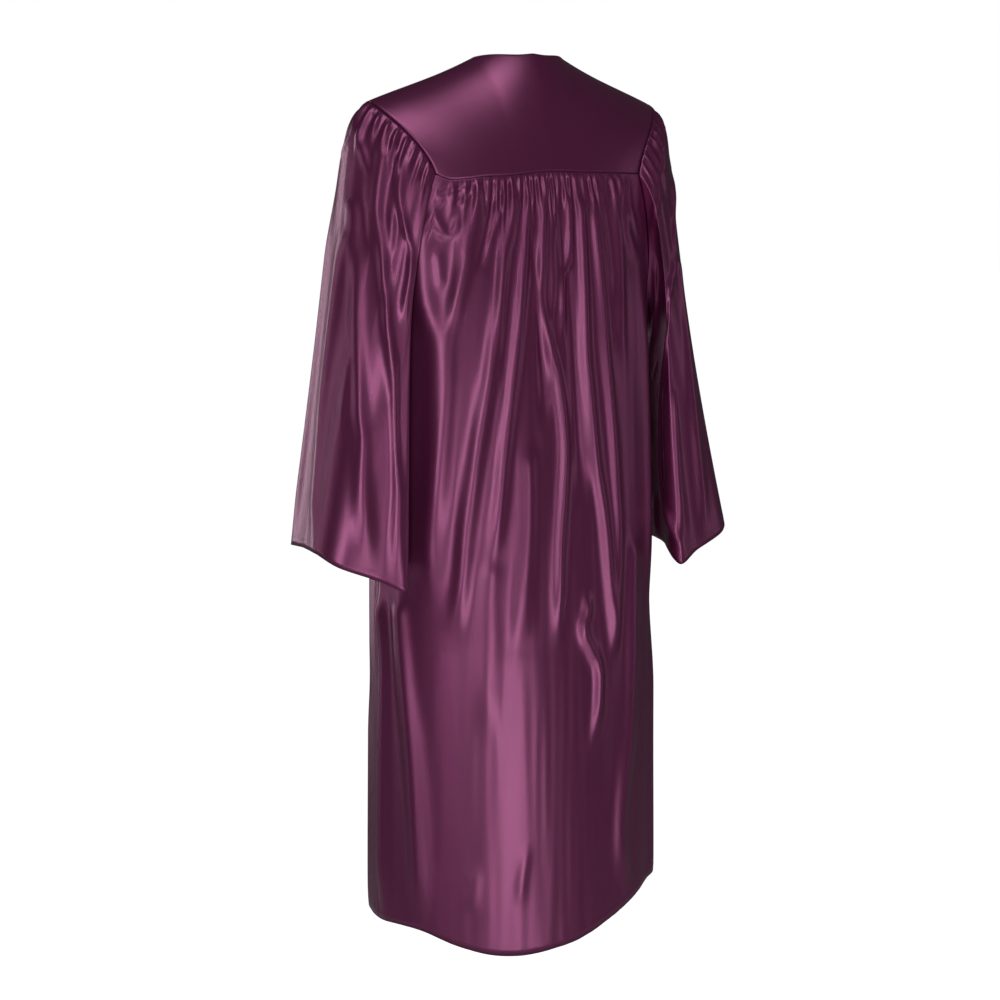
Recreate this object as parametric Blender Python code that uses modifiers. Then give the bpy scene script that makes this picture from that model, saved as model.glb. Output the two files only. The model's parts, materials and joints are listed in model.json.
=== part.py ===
"""A graduation gown, worn but with no wearer: a hollow gown of satin that hangs from its shoulders.

Metres, +Z up. The wearer faces -Y, so the back is at +Y and the wearer's left is at +X. The origin is
between the shoulder seams, halfway down them, where a wearer's shoulders hold the gown up.

Every cloth piece is one open surface with a wall. Each surface is worked out from the tables below:
the body is a tube of flattened rings, the yokes run from the shoulder seams to that tube, and each
sleeve runs from the armhole to its own hem. Angles round the body start at the front centre and turn
towards the wearer's left.
"""

import math

import bmesh
import bpy
import numpy as np
from mathutils import Matrix

# Driving sizes of a gown for a wearer of about 1.70 m.
SHOULDER_HALF = 0.233  # from the centre to the shoulder tip
SHOULDER_DROP = 0.063  # from the neck point down to the shoulder tip
NECK_HALF = 0.073  # from the centre to the neck point
NECK_BACK = 0.055  # how far the back neck lies behind the shoulder tips
NECK_SIDE = 0.016  # how far the neck points lie behind the shoulder tips
WALL = 0.0012  # thickness of the cloth
GAP = 0.0003  # between two pieces at a seam
UNDERARM_Z = -0.335
FRONT_SEAM_Z = -0.125  # the front yokes' lower seam, where the zip starts
BACK_CORNER = math.radians(114)  # where that seam meets the armhole
FRONT_CORNER = math.radians(64)
SIDE_SEAM = math.radians(90)
NECK_SHARE = 5 / 13  # of the back yoke's half top edge that is neck, and the rest is shoulder

# Gathers, counted on the photographed back and repeated on the hidden seams.
BACK_GATHERS = 26
FRONT_GATHERS = 10
CAP_GATHERS = 18
GATHER_DEPTH = 0.0027  # from the mean surface to a gather's crest
GATHER_START = 0.012  # a gather is flat at its stitches and full this far below them
SLEEVE_TRIM = 0.0014  # the sleeve's cap starts this far from the armhole's edge

# The zip
ZIP_END_Z = -0.9135
ZIP_SLOT = 0.0055  # half the width left between the front edges
TAPE_WIDTH = 0.012
TAPE_THICK = 0.0010
COIL_HALF = 0.0022
COIL_THICK = 0.0014
SLIDER_TOP = 0.0050  # below the front yoke's seam

SATIN = (0.115, 0.022, 0.065)
TAPE_COLOUR = (0.085, 0.018, 0.050)
COIL_COLOUR = (0.070, 0.015, 0.042)
METAL_COLOUR = (0.42, 0.40, 0.39)


def table(names, rows):
    """A table as {column name: array}."""
    return dict(zip(names.split(), np.array(rows, float).T))


# The body's rings, from the yoke seam down to the hem. Square 2 is an ellipse, and more is boxier.
BODY = table(
    "z half_width back front square",
    [
        (-0.125, 0.216, 0.096, 0.100, 2.8),
        (-0.340, 0.213, 0.120, 0.122, 2.5),
        (-0.620, 0.217, 0.136, 0.132, 2.3),
        (-0.950, 0.223, 0.148, 0.138, 2.1),
        (-1.280, 0.229, 0.154, 0.142, 2.0),
    ],
)

# The hem's height round the body, lowest at the back.
HEM = table(
    "degrees z",
    [
        (0, -1.226),
        (30, -1.222),
        (60, -1.220),
        (90, -1.222),
        (110, -1.224),
        (126, -1.246),
        (139, -1.259),
        (155, -1.264),
        (173, -1.260),
        (188, -1.254),
        (211, -1.234),
        (229, -1.216),
        (245, -1.200),
        (270, -1.196),
        (300, -1.206),
        (330, -1.220),
        (360, -1.226),
    ],
)

# The back yoke's lower seam, which sags a little at the wearer's left.
SEAM = table(
    "degrees z",
    [
        (114, -0.1345),
        (119, -0.1415),
        (124, -0.1410),
        (132, -0.1380),
        (145, -0.1365),
        (155, -0.1350),
        (178, -0.1310),
        (215, -0.1320),
        (238, -0.1335),
        (246, -0.1345),
    ],
)
CORNER_Z = -0.1345

# Folds down the body. Each is a soft ridge, or a trough where its height is negative, whose middle
# passes through three points: degrees round the body and z at its top, middle and foot. wide is the
# distance from its middle at which it has fallen to about a third.
FOLDS = table(
    "top top_z mid mid_z foot foot_z wide height",
    [
        (118, -0.200, 123, -0.370, 122, -0.690, 0.016, 0.0070),
        (133, -0.150, 131, -0.200, 127, -0.330, 0.009, 0.0035),
        (139, -0.150, 136, -0.200, 132, -0.270, 0.008, -0.0040),
        (146, -0.145, 144, -0.190, 138, -0.270, 0.010, 0.0050),
        (147, -0.220, 142, -0.330, 131, -0.610, 0.013, 0.0070),
        (156, -0.300, 149, -0.460, 140, -0.700, 0.013, 0.0070),
        (163, -0.200, 168, -0.330, 170, -0.500, 0.012, -0.0040),
        (170, -0.320, 183, -0.500, 182, -0.790, 0.013, 0.0075),
        (192, -0.200, 194, -0.380, 196, -0.620, 0.014, -0.0050),
        (204, -0.310, 206, -0.500, 217, -0.840, 0.012, 0.0080),
        (216, -0.300, 219, -0.480, 222, -0.670, 0.010, 0.0050),
        (226, -0.330, 231, -0.470, 233, -0.620, 0.010, 0.0045),
        (241, -0.260, 246, -0.500, 247, -0.800, 0.015, 0.0065),
        (159, -0.480, 159, -0.610, 155, -0.730, 0.010, 0.0050),
        (97, -0.700, 98, -0.950, 100, -1.300, 0.014, 0.0070),
        (107, -0.740, 111, -0.950, 116, -1.300, 0.014, 0.0080),
        (130, -0.850, 128, -1.050, 127, -1.300, 0.022, -0.0100),
        (142, -0.660, 139, -0.800, 137, -0.950, 0.012, 0.0060),
        (162, -0.680, 154, -0.900, 151, -1.300, 0.026, 0.0120),
        (180, -0.850, 178, -1.050, 180, -1.300, 0.030, -0.0060),
        (198, -0.720, 207, -0.870, 201, -1.000, 0.012, 0.0060),
        (206, -0.950, 207, -1.100, 212, -1.300, 0.020, 0.0070),
        (232, -0.700, 226, -0.990, 231, -1.300, 0.016, 0.0090),
        (252, -0.780, 252, -1.000, 250, -1.300, 0.018, 0.0070),
        (272, -0.420, 270, -0.700, 268, -1.000, 0.018, 0.0060),
        (283, -0.300, 286, -0.600, 283, -0.900, 0.014, 0.0060),
        (276, -0.850, 278, -1.050, 280, -1.300, 0.020, 0.0080),
        (298, -0.200, 300, -0.450, 305, -0.780, 0.013, 0.0060),
        (303, -0.750, 301, -1.000, 297, -1.300, 0.022, 0.0100),
        (313, -0.260, 317, -0.500, 314, -0.720, 0.012, 0.0055),
        (330, -0.180, 328, -0.420, 333, -0.700, 0.011, 0.0050),
        (324, -0.680, 327, -0.980, 325, -1.300, 0.020, 0.0085),
        (340, -0.480, 342, -0.750, 339, -1.000, 0.012, 0.0040),
        (17, -0.300, 19, -0.520, 16, -0.800, 0.012, 0.0045),
        (29, -0.180, 33, -0.400, 31, -0.690, 0.012, 0.0060),
        (25, -0.720, 28, -0.950, 30, -1.300, 0.022, 0.0095),
        (44, -0.210, 49, -0.480, 53, -0.820, 0.013, 0.0065),
        (60, -0.240, 65, -0.460, 62, -0.700, 0.012, 0.0055),
        (52, -0.800, 50, -1.000, 46, -1.300, 0.022, 0.0100),
        (74, -0.420, 77, -0.680, 74, -0.950, 0.015, 0.0060),
        (71, -0.850, 74, -1.050, 72, -1.300, 0.020, 0.0085),
        (88, -0.450, 90, -0.650, 88, -0.850, 0.014, 0.0050),
    ],
)

# A sleeve, by the share of the armhole passed from the shoulder tip towards the back. swell is how
# far and which way the cloth stands off the straight line from armhole to hem. It rises to that within
# about rise of the length and dies away towards the hem, faster with a larger fall. hem is where the
# line ends. All are for the wearer's left.
SLEEVE = table(
    "share swell_x swell_y swell_z rise fall hem_x hem_y hem_z",
    [
        (0.00, 0.028, 0.000, 0.005, 0.040, 1.6, 0.340, -0.008, -0.660),
        (0.08, 0.018, 0.008, 0.003, 0.040, 2.4, 0.346, 0.046, -0.661),
        (0.16, 0.014, 0.014, 0.001, 0.045, 2.4, 0.326, 0.078, -0.678),
        (0.24, 0.015, 0.018, 0.000, 0.050, 2.0, 0.270, 0.092, -0.700),
        (0.305, 0.022, 0.014, 0.000, 0.050, 1.8, 0.232, 0.102, -0.717),
        (0.35, 0.028, 0.007, 0.000, 0.045, 1.8, 0.231, 0.076, -0.702),
        (0.44, 0.026, 0.002, 0.000, 0.040, 2.0, 0.243, 0.036, -0.691),
        (0.52, 0.024, 0.000, 0.000, 0.040, 2.0, 0.247, -0.022, -0.686),
        (0.62, 0.024, -0.006, 0.000, 0.045, 2.0, 0.246, -0.090, -0.682),
        (0.72, 0.022, -0.016, 0.000, 0.050, 1.8, 0.256, -0.130, -0.680),
        (0.80, 0.022, -0.020, 0.000, 0.050, 1.4, 0.284, -0.134, -0.676),
        (0.90, 0.031, -0.018, 0.003, 0.040, 1.0, 0.322, -0.088, -0.668),
        (1.00, 0.028, 0.000, 0.005, 0.040, 1.6, 0.340, -0.008, -0.660),
    ],
)

# Folds down a sleeve: share of the armhole at top and foot, where along the length it starts and ends,
# its width as a share and its height.
SLEEVE_FOLDS = table(
    "top foot start end wide height",
    [
        (0.03, 0.02, 0.10, 1.10, 0.020, 0.0050),
        (0.11, 0.12, 0.06, 0.80, 0.018, 0.0055),
        (0.19, 0.20, 0.15, 1.10, 0.020, 0.0060),
        (0.27, 0.26, 0.05, 0.70, 0.016, 0.0050),
        (0.33, 0.33, 0.35, 1.10, 0.018, 0.0045),
        (0.56, 0.55, 0.30, 1.10, 0.024, 0.0050),
        (0.71, 0.73, 0.08, 0.75, 0.018, 0.0055),
        (0.79, 0.80, 0.20, 1.10, 0.020, 0.0060),
        (0.87, 0.86, 0.06, 0.65, 0.018, 0.0050),
        (0.94, 0.93, 0.15, 1.10, 0.020, 0.0055),
    ],
)


def read(rows, column, at, key="z"):
    """A smooth curve through one column of a table, at the given values of its key column."""
    x, y = rows[key], rows[column]
    if x[0] > x[-1]:
        x, y = x[::-1], y[::-1]
    slope = np.gradient(y, x)
    at = np.clip(at, x[0], x[-1])
    i = np.clip(np.searchsorted(x, at) - 1, 0, len(x) - 2)
    step = x[i + 1] - x[i]
    t = (at - x[i]) / step
    return (
        (2 * t**3 - 3 * t**2 + 1) * y[i]
        + (t**3 - 2 * t**2 + t) * step * slope[i]
        + (3 * t**2 - 2 * t**3) * y[i + 1]
        + (t**3 - t**2) * step * slope[i + 1]
    )


def ease(t):
    """0 to 1 with level ends."""
    t = np.clip(t, 0, 1)
    return t * t * (3 - 2 * t)


def unit(v):
    return v / np.linalg.norm(v, axis=-1, keepdims=True)


def hermite(start, end, leave, arrive, t):
    """The cubic from start to end with those end tangents."""
    t = np.asarray(t, float)[..., None]
    return (
        (2 * t**3 - 3 * t**2 + 1) * start
        + (t**3 - 2 * t**2 + t) * leave
        + (3 * t**2 - 2 * t**3) * end
        + (t**3 - t**2) * arrive
    )


def hump(t, rise, fall):
    """0 at 0, rising within about rise, then dying away to 0 at 1."""
    return (1 - np.exp(-t / rise)) * (1 - t) ** fall


# The body
def on_body(turn, z):
    """Points of the plain body tube, and its level outward normals there."""
    turn, z = np.broadcast_arrays(turn, z)
    half, square = read(BODY, "half_width", z), read(BODY, "square", z)
    deep = np.where(np.cos(turn) > 0, read(BODY, "front", z), read(BODY, "back", z))
    s, c = np.sin(turn), -np.cos(turn)
    radius = (np.abs(s / half) ** square + np.abs(c / deep) ** square) ** (-1 / square)
    x, y = radius * s, radius * c
    out_x = np.sign(x) * np.abs(x / half) ** (square - 1) / half
    out_y = np.sign(y) * np.abs(y / deep) ** (square - 1) / deep
    return np.stack([x, y, z], axis=-1), unit(np.stack([out_x, out_y, 0 * x], axis=-1))


def from_front(turn):
    """The angle from the front centre, on either side."""
    return np.abs((turn + math.pi) % (2 * math.pi) - math.pi)


def back_seam(turn):
    return read(SEAM, "z", np.degrees(turn) % 360, "degrees")


def top_edge(turn):
    """The height of the body panels' upper edge: the yoke seams and, between them, the armholes."""
    m = from_front(turn)
    behind = np.sin(np.clip((BACK_CORNER - m) / (BACK_CORNER - SIDE_SEAM), 0, 1) * math.pi / 2)
    before = np.sin(np.clip((m - FRONT_CORNER) / (SIDE_SEAM - FRONT_CORNER), 0, 1) * math.pi / 2)
    z_back = np.where(m < BACK_CORNER, CORNER_Z + (UNDERARM_Z - CORNER_Z) * behind, back_seam(turn))
    z_front = FRONT_SEAM_Z + (UNDERARM_Z - FRONT_SEAM_Z) * before
    return np.where(m > SIDE_SEAM, z_back, z_front)


def folds_at(turn, z):
    """How far the folds carry the body's cloth outwards."""
    total = np.zeros(np.broadcast(turn, z).shape)
    for top, top_z, mid, mid_z, foot, foot_z, wide, height in zip(*FOLDS.values()):
        t = (z - top_z) / (foot_z - top_z)
        k = (mid_z - top_z) / (foot_z - top_z)
        bend = (mid - top - (foot - top) * k) / (k * (k - 1))
        centre = np.radians(top + (foot - top) * t + bend * t * (t - 1))
        away = ((turn - centre + math.pi) % (2 * math.pi) - math.pi) * 0.19
        lasts = ease(t / 0.3 + 0.15) * ease((1 - t) / 0.3 + 0.15)
        total = total + height * lasts * np.exp(-((away / wide) ** 2))
    return total


def gather_reach(index):
    """How far below its stitches each gather lasts: uneven, from 40 to 110 mm."""
    return 0.075 + 0.035 * np.sin(index * 2.4) * np.cos(index * 0.9 + 0.6)


def gathers_at(share, count, below, flat=0.0):
    """How far a seam's gathers stand out. share is the way along the seam, below the way under it, and
    flat the number of gathers left out at the seam's start."""
    index = np.round(share * count)
    uneven = 0.75 + 0.25 * np.sin(index * 1.9 + 0.7)
    ends = ease((share * count - flat) / 1.5) * ease((1 - share) * count / 1.5)
    full = ease(below / GATHER_START)
    lasts = 1 - ease((below - 0.02) / gather_reach(share * count))
    return GATHER_DEPTH * np.cos(2 * math.pi * share * count) * uneven * ends * full * lasts


def body_cloth(turn, z, gathers):
    """The body's cloth with its folds, which lie flat at every seam and beside the zip."""
    point, out = on_body(turn, z)
    below = top_edge(turn) - z
    flat = ease(below / 0.05) * ease((from_front(turn) - 0.135) / 0.12)
    return point + out * (folds_at(turn, z) * flat + gathers)[..., None]


def slot(z):
    """Half the distance between the two front edges."""
    return GAP / 2 + (ZIP_SLOT - GAP / 2) * ease((z - ZIP_END_Z + 0.012) / 0.010)


# Neck, shoulders and yokes
NECK_POINT = np.array([NECK_HALF, NECK_SIDE, SHOULDER_DROP / 2])
TIP = np.array([SHOULDER_HALF, 0, -SHOULDER_DROP / 2])


RIDGE_RISE = 0.036  # how much higher than the neck points that line would be over the neck's middle


def shoulder_seam(t):
    """From the neck point at 0 to the tip at 1, sagging a little between them."""
    t = np.asarray(t, float)[..., None]
    return NECK_POINT + (TIP - NECK_POINT) * t - np.array([0, 0, 0.005]) * np.sin(math.pi * t) * (1 - t)


def back_neck(t):
    """How far behind the shoulder tips the neck edge lies, from the centre back at 0 to the neck point."""
    return NECK_BACK - (NECK_BACK - NECK_SIDE) * t**2.2


def back_yoke(across, down):
    """across runs from -1 at the right shoulder tip to 1 at the left, and down from 0 to 1.

    The surface rises to the line of the shoulder seams, carried on over the neck, and the neck edge cuts
    it off.
    """
    across, down = np.broadcast_arrays(np.asarray(across, float), down)
    side, u = np.where(across < 0, -1.0, 1.0), np.abs(across)
    near = np.clip(u / NECK_SHARE, 0, 1)
    past = np.clip((u - NECK_SHARE) / (1 - NECK_SHARE), 0, 1)
    over = NECK_POINT * np.stack([near, 1 + 0 * near, 1 + 0 * near], axis=-1)
    over = over + np.stack([0 * near, 0.003 * (1 - near), RIDGE_RISE * (1 - near**1.6)], axis=-1)
    top = np.where((u < NECK_SHARE)[..., None], over, shoulder_seam(past))
    turn = math.pi + (BACK_CORNER - math.pi) * u
    seam = back_seam(math.pi + (BACK_CORNER - math.pi) * across)
    low, _ = on_body(turn, seam)
    lower, _ = on_body(turn, seam - 0.01)
    long = np.linalg.norm(low - top, axis=-1, keepdims=True)
    leave = unit(np.array([0.0, 0.93, -0.37])) * long * 0.9
    arrive = unit(unit(lower - low) + u[..., None] ** 3 * np.array([-0.30, 0.10, 0])) * long
    cut = neck_cut(top, low, leave, arrive, near)
    made = hermite(top, low, leave, arrive, cut + (1 - cut) * down)
    return made * np.stack([side, 1 + 0 * side, 1 + 0 * side], axis=-1)


def neck_cut(top, low, leave, arrive, near):
    """How far down each of the back yoke's columns the neck edge cuts it: 0 over the shoulders."""
    first, last = np.zeros(near.shape), np.full(near.shape, 0.6)
    for _ in range(24):
        middle = (first + last) / 2
        inside = hermite(top, low, leave, arrive, middle)[..., 1] < back_neck(near)
        first, last = np.where(inside, middle, first), np.where(inside, last, middle)
    return np.where(near < 1, first, 0.0)


def front_yoke(across, down):
    """The wearer's left front yoke. across runs from 0 at the neckline to 1 at the armhole."""
    top = shoulder_seam(across)
    edge = math.asin(ZIP_SLOT / 0.1)
    low, _ = on_body(edge + (FRONT_CORNER - edge) * across, FRONT_SEAM_Z + 0 * across)
    lower, _ = on_body(edge + (FRONT_CORNER - edge) * across, FRONT_SEAM_Z - 0.01 + 0 * across)
    long = np.linalg.norm(low - top, axis=-1, keepdims=True)
    v = np.asarray(across, float)[..., None]
    leave = unit(np.array([-0.10, -0.93, -0.34]) + v * np.array([0.10, 0.0, 0.04]))
    arrive = unit(unit(lower - low) + (1 - v) * np.array([-0.28, 0, 0]) + v * np.array([-0.30, -0.10, 0]))
    return hermite(top, low, leave * long * 0.9, arrive * long, down)


# Sleeves
def armhole():
    """The wearer's left armhole from the shoulder tip, down the back and up the front to the tip."""
    yoke = np.linspace(0, 1, 60)
    behind, before = np.linspace(BACK_CORNER, SIDE_SEAM, 90), np.linspace(SIDE_SEAM, FRONT_CORNER, 90)
    parts = [
        back_yoke(1 + 0 * yoke, yoke)[:-1],
        on_body(behind, top_edge(behind))[0][:-1],
        on_body(before, top_edge(before))[0][:-1],
        front_yoke(1 + 0 * yoke, yoke)[::-1],
    ]
    return np.concatenate(parts)


ARMHOLE = armhole()
ARM_WAY = np.concatenate([[0], np.cumsum(np.linalg.norm(np.diff(ARMHOLE, axis=0), axis=1))])
ARM_LENGTH = ARM_WAY[-1]
CAP_END = ARM_WAY[59] / ARM_LENGTH  # share of the armhole at which the back yoke ends
CAP_START = 1 - CAP_END


def share_behind(turn):
    """The share of the armhole at which the back panel's edge has this angle."""
    dense = np.linspace(BACK_CORNER, SIDE_SEAM, 90)
    return np.interp(-turn, -dense, ARM_WAY[59:149] / ARM_LENGTH)


def share_before(turn):
    """The same for the front panel's edge."""
    dense = np.linspace(SIDE_SEAM, FRONT_CORNER, 90)
    return np.interp(-turn, -dense, ARM_WAY[148:238] / ARM_LENGTH)


def plain_sleeve(share, down):
    share = share % 1.0
    start = np.stack([np.interp(share * ARM_LENGTH, ARM_WAY, ARMHOLE[:, k]) for k in range(3)], axis=-1)
    hem = np.stack([read(SLEEVE, "hem_" + k, share, "share") for k in "xyz"], axis=-1)
    swell = np.stack([read(SLEEVE, "swell_" + k, share, "share") for k in "xyz"], axis=-1)
    rise, fall = read(SLEEVE, "rise", share, "share"), read(SLEEVE, "fall", share, "share")
    return start + (hem - start) * down[..., None] + swell * hump(down, rise, fall)[..., None]


def sleeve_cloth(share, down, side):
    """A sleeve's cloth with its folds and gathers. The two sides differ in where their folds lie."""
    share, down = np.broadcast_arrays(share, down)
    point = plain_sleeve(share, down)
    low, high = np.clip(down - 0.01, 0, 1), np.clip(down + 0.01, 0, 1)
    along = plain_sleeve(share, high) - plain_sleeve(share, low)
    around = plain_sleeve(share + 0.012, down) - plain_sleeve(share - 0.012, down)
    out = unit(np.cross(along, around))
    total = np.zeros(share.shape)
    for top, foot, start, end, wide, height in zip(*SLEEVE_FOLDS.values()):
        shift = 0.0 if side > 0 else 0.012 * math.sin(40 * top)
        centre = top + (foot - top) * down + shift
        away = (share - centre + 0.5) % 1.0 - 0.5
        lasts = ease((down - start) / 0.18) * ease((end - down) / 0.25)
        total = total + height * lasts * np.exp(-((away / wide) ** 2))
    cap = ((share + 0.5) % 1.0 - 0.5 + CAP_END) / (2 * CAP_END)
    below = down * 0.62
    total = total + np.where((cap > 0) & (cap < 1), gathers_at(np.clip(cap, 0, 1), CAP_GATHERS, below), 0)
    return point + out * total[..., None]


# Building
def material(name, colour, roughness, metallic):
    made = bpy.data.materials.new(name)
    made.use_nodes = True
    shader = made.node_tree.nodes["Principled BSDF"]
    shader.inputs["Base Color"].default_value = (*colour, 1)
    shader.inputs["Roughness"].default_value = roughness
    shader.inputs["Metallic"].default_value = metallic
    return made


def add_object(name, points, faces, look):
    mesh = bpy.data.meshes.new(name)
    mesh.from_pydata([tuple(map(float, p)) for p in points], [], faces)
    mesh.update()
    obj = bpy.data.objects.new(name, mesh)
    obj.data.materials.append(material(name, *look))
    gown.objects.link(obj)
    return obj


def cloth(name, rows, closed=False):
    """A cloth piece from rows of points. A row may hold half the columns of the one above it."""
    points, faces, first = [], [], 0
    for number, row in enumerate(rows):
        points.extend(row)
        if number == len(rows) - 1:
            break
        here, below = len(row), len(rows[number + 1])
        second = first + here
        if here == below:
            for c in range(here if closed else here - 1):
                d = (c + 1) % here
                faces.append((first + c, second + c, second + d, first + d))
        else:
            for c in range(below if closed else below - 1):
                left, middle, right = first + 2 * c, first + 2 * c + 1, first + (2 * c + 2) % here
                low, next_low = second + c, second + (c + 1) % below
                faces.append((left, low, middle))
                faces.append((middle, low, next_low))
                faces.append((middle, next_low, right))
        first = second
    obj = add_object(name, points, faces, (SATIN, 0.35, 0.0))
    wall = obj.modifiers.new("wall", "SOLIDIFY")
    wall.thickness = WALL
    wall.offset = 0
    return obj


def spaced(fine, coarse):
    """Which rows keep every column, and which keep every second one."""
    return [1] * fine + [2] * coarse


def turn_lines(start, end, count, sampling):
    """Columns over a gathered seam, uneven as gathers are: shares of the seam and angles."""
    share = np.linspace(0, 1, count * sampling + 1)
    uneven = share + 0.006 * np.sin(2 * math.pi * 3 * share) + 0.004 * np.sin(2 * math.pi * 7 * share)
    return share, start + (end - start) * uneven


# The columns of a body panel under the armhole, as shares of the way from the yoke's corner to the side
# seam. The sleeves use the same ones, so that the pieces meet point to point.
ARMHOLE_COLUMNS = np.array([0, 0.13, 0.26, 0.36, 0.47, 0.60, 0.73, 0.87, 1.0])

# The rows of the body panels, as shares of the way down. Two lie close together at the zip's end.
BODY_STEPS = (0, 0.006, 0.018, 0.050, 0.10, 0.16, 0.24, 0.34, 0.45, 0.57, 0.716, 0.728, 0.81, 0.90, 1.0)


def back_panel_rows():
    share, turn = turn_lines(BACK_CORNER, 2 * math.pi - BACK_CORNER, BACK_GATHERS, 4)
    pull = GAP / 0.215
    side = BACK_CORNER + (SIDE_SEAM + pull - BACK_CORNER) * ARMHOLE_COLUMNS[:0:-1]
    turn = np.concatenate([side, turn, 2 * math.pi - side[::-1]])
    share = np.concatenate([0 * side, share, 1 + 0 * side])
    rows = []
    for step, every in zip(BODY_STEPS, spaced(4, 11)):
        top = top_edge(turn) - GAP / 2
        hem = read(HEM, "z", np.degrees(turn) % 360, "degrees")
        z = top + (hem - top) * step
        wave = gathers_at(share, BACK_GATHERS, top - z)
        rows.append(body_cloth(turn, z, wave)[::every])
    return rows


def front_turns(z, share, side_turns):
    """A front panel's angles at each height, from the front edge to the side seam."""
    deep = read(BODY, "front", z)
    edge = np.arcsin(np.clip(slot(z) / deep, 0, 0.2))
    seam = edge + (FRONT_CORNER - edge) * share
    return np.where(np.isnan(side_turns), seam, side_turns)


def front_panel_rows():
    share, _ = turn_lines(0, 1, FRONT_GATHERS, 4)
    pull = GAP / 0.215
    side = FRONT_CORNER + (SIDE_SEAM - pull - FRONT_CORNER) * ARMHOLE_COLUMNS[1:]
    fixed = np.concatenate([np.full(len(share), np.nan), side])
    share = np.concatenate([share, 1 + 0 * side])
    rows = []
    for step, every in zip(BODY_STEPS, spaced(4, 11)):
        turn = front_turns(np.full(len(share), FRONT_SEAM_Z), share, fixed)
        for _ in range(3):
            top = top_edge(turn) - GAP / 2
            hem = read(HEM, "z", np.degrees(turn) % 360, "degrees")
            z = top + (hem - top) * step
            turn = front_turns(z, share, fixed)
        wave = gathers_at(share, FRONT_GATHERS, top - z, 1.1)
        rows.append((turn, z, wave, every))
    return rows


def front_panel(name, side):
    made = []
    for turn, z, wave, every in front_panel_rows():
        points = body_cloth(turn if side > 0 else 2 * math.pi - turn, z, wave)[::every]
        made.append(points if side > 0 else points[::-1])
    return cloth(name, made)


def yokes():
    neck = np.linspace(0, NECK_SHARE, 6)
    shoulder = np.linspace(NECK_SHARE, 1, 9)[1:]
    half = np.concatenate([neck, shoulder])
    across = np.concatenate([-half[:0:-1], half])
    trim = 0.0006 / 0.15
    down = np.linspace(trim, 1 - 1.4 * GAP / 0.15, 8)
    rows = [back_yoke(across, np.full(len(across), d)) for d in down]
    cloth("yoke_back", [row[::-1] for row in rows])
    across = np.linspace(0, 1, 11)
    down = np.linspace(trim, 1 - GAP / 0.15, 8)
    rows = [front_yoke(across, np.full(len(across), d)) for d in down]
    cloth("yoke_front_left", rows)
    cloth("yoke_front_right", [row[::-1] * np.array([-1, 1, 1]) for row in rows])


def sleeves():
    cap = np.linspace(-CAP_END, CAP_END, CAP_GATHERS * 4 + 1)
    behind = BACK_CORNER + (SIDE_SEAM - BACK_CORNER) * ARMHOLE_COLUMNS[1:]
    before = FRONT_CORNER + (SIDE_SEAM - FRONT_CORNER) * ARMHOLE_COLUMNS[-2:0:-1]
    share = np.concatenate([cap, share_behind(behind), share_before(before)])
    steps = (0, 0.010, 0.028, 0.075, 0.14, 0.22, 0.32, 0.44, 0.57, 0.71, 0.86, 1.0)
    for name, side in (("sleeve_left", 1), ("sleeve_right", -1)):
        rows = []
        for step, every in zip(steps, spaced(4, 8)):
            down = SLEEVE_TRIM / 0.62 + (1 - SLEEVE_TRIM / 0.62) * step
            row = sleeve_cloth(share, np.full(len(share), down), side) * np.array([side, 1, 1])
            row = row[::every]
            rows.append(row if side > 0 else row[::-1])
        cloth(name, rows, closed=True)



def front_line():
    """Where the zip runs: y and z of the front's middle at each row of the front panels."""
    top = FRONT_SEAM_Z - GAP / 2
    hem = float(read(HEM, "z", np.array(0.0), "degrees"))
    z = np.array([top + (hem - top) * s for s in BODY_STEPS])
    z = z[z > ZIP_END_Z - 0.006]
    return -read(BODY, "front", z), z


def strip(name, left, right, y_mid, z, thick, look):
    """A flat strip down the front between two edges, given at each height."""
    points, faces = [], []
    for l, r, y, height in zip(left, right, y_mid, z):
        for x, d in ((l, -thick / 2), (r, -thick / 2), (r, thick / 2), (l, thick / 2)):
            points.append((x, y + d, height))
    for n in range(len(z) - 1):
        for k in range(4):
            a, b = n * 4 + k, n * 4 + (k + 1) % 4
            faces.append((a, a + 4, b + 4, b))
    last = (len(z) - 1) * 4
    faces.append((0, 1, 2, 3))
    faces.append((last + 3, last + 2, last + 1, last))
    return add_object(name, points, faces, look)


def zip_parts():
    y, z = front_line()
    fine = np.concatenate([z[0] - np.array([0.003, 0.0085, 0.0115]), z[2:]])
    deep = -np.interp(fine, z[::-1], y[::-1])
    y_fine = on_body(np.arcsin(TAPE_WIDTH / deep), fine)[0][:, 1]
    inner = np.where(fine > z[0] - 0.010, 0.0016, 0.00025)
    behind = WALL / 2 + GAP + TAPE_THICK / 2
    outer = 0 * fine + TAPE_WIDTH
    look = (TAPE_COLOUR, 0.8, 0.0)
    strip("zip_tape_left", inner, outer, y_fine + behind, fine, TAPE_THICK, look)
    strip("zip_tape_right", -outer, -inner, y_fine + behind, fine, TAPE_THICK, look)
    coil = np.concatenate([[z[0] - 0.010], z[2:]])
    y_coil = np.interp(coil, z[::-1], y[::-1]) + WALL / 2 - COIL_THICK / 2
    half = 0 * coil + COIL_HALF
    strip("zip_coil", -half, half, y_coil, coil, COIL_THICK, (COIL_COLOUR, 0.5, 0.0))


def slider_frame():
    """Turns the slider's own axes to the front's slope, with its origin on the front's surface."""
    y, z = front_line()
    at = z[0] - SLIDER_TOP - 0.006
    here = float(np.interp(at, z[::-1], y[::-1]))
    slope = (float(np.interp(at - 0.01, z[::-1], y[::-1])) - here) / 0.01
    return Matrix.Translation((0, here, at)) @ Matrix.Rotation(math.atan(slope), 4, "X")


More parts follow.
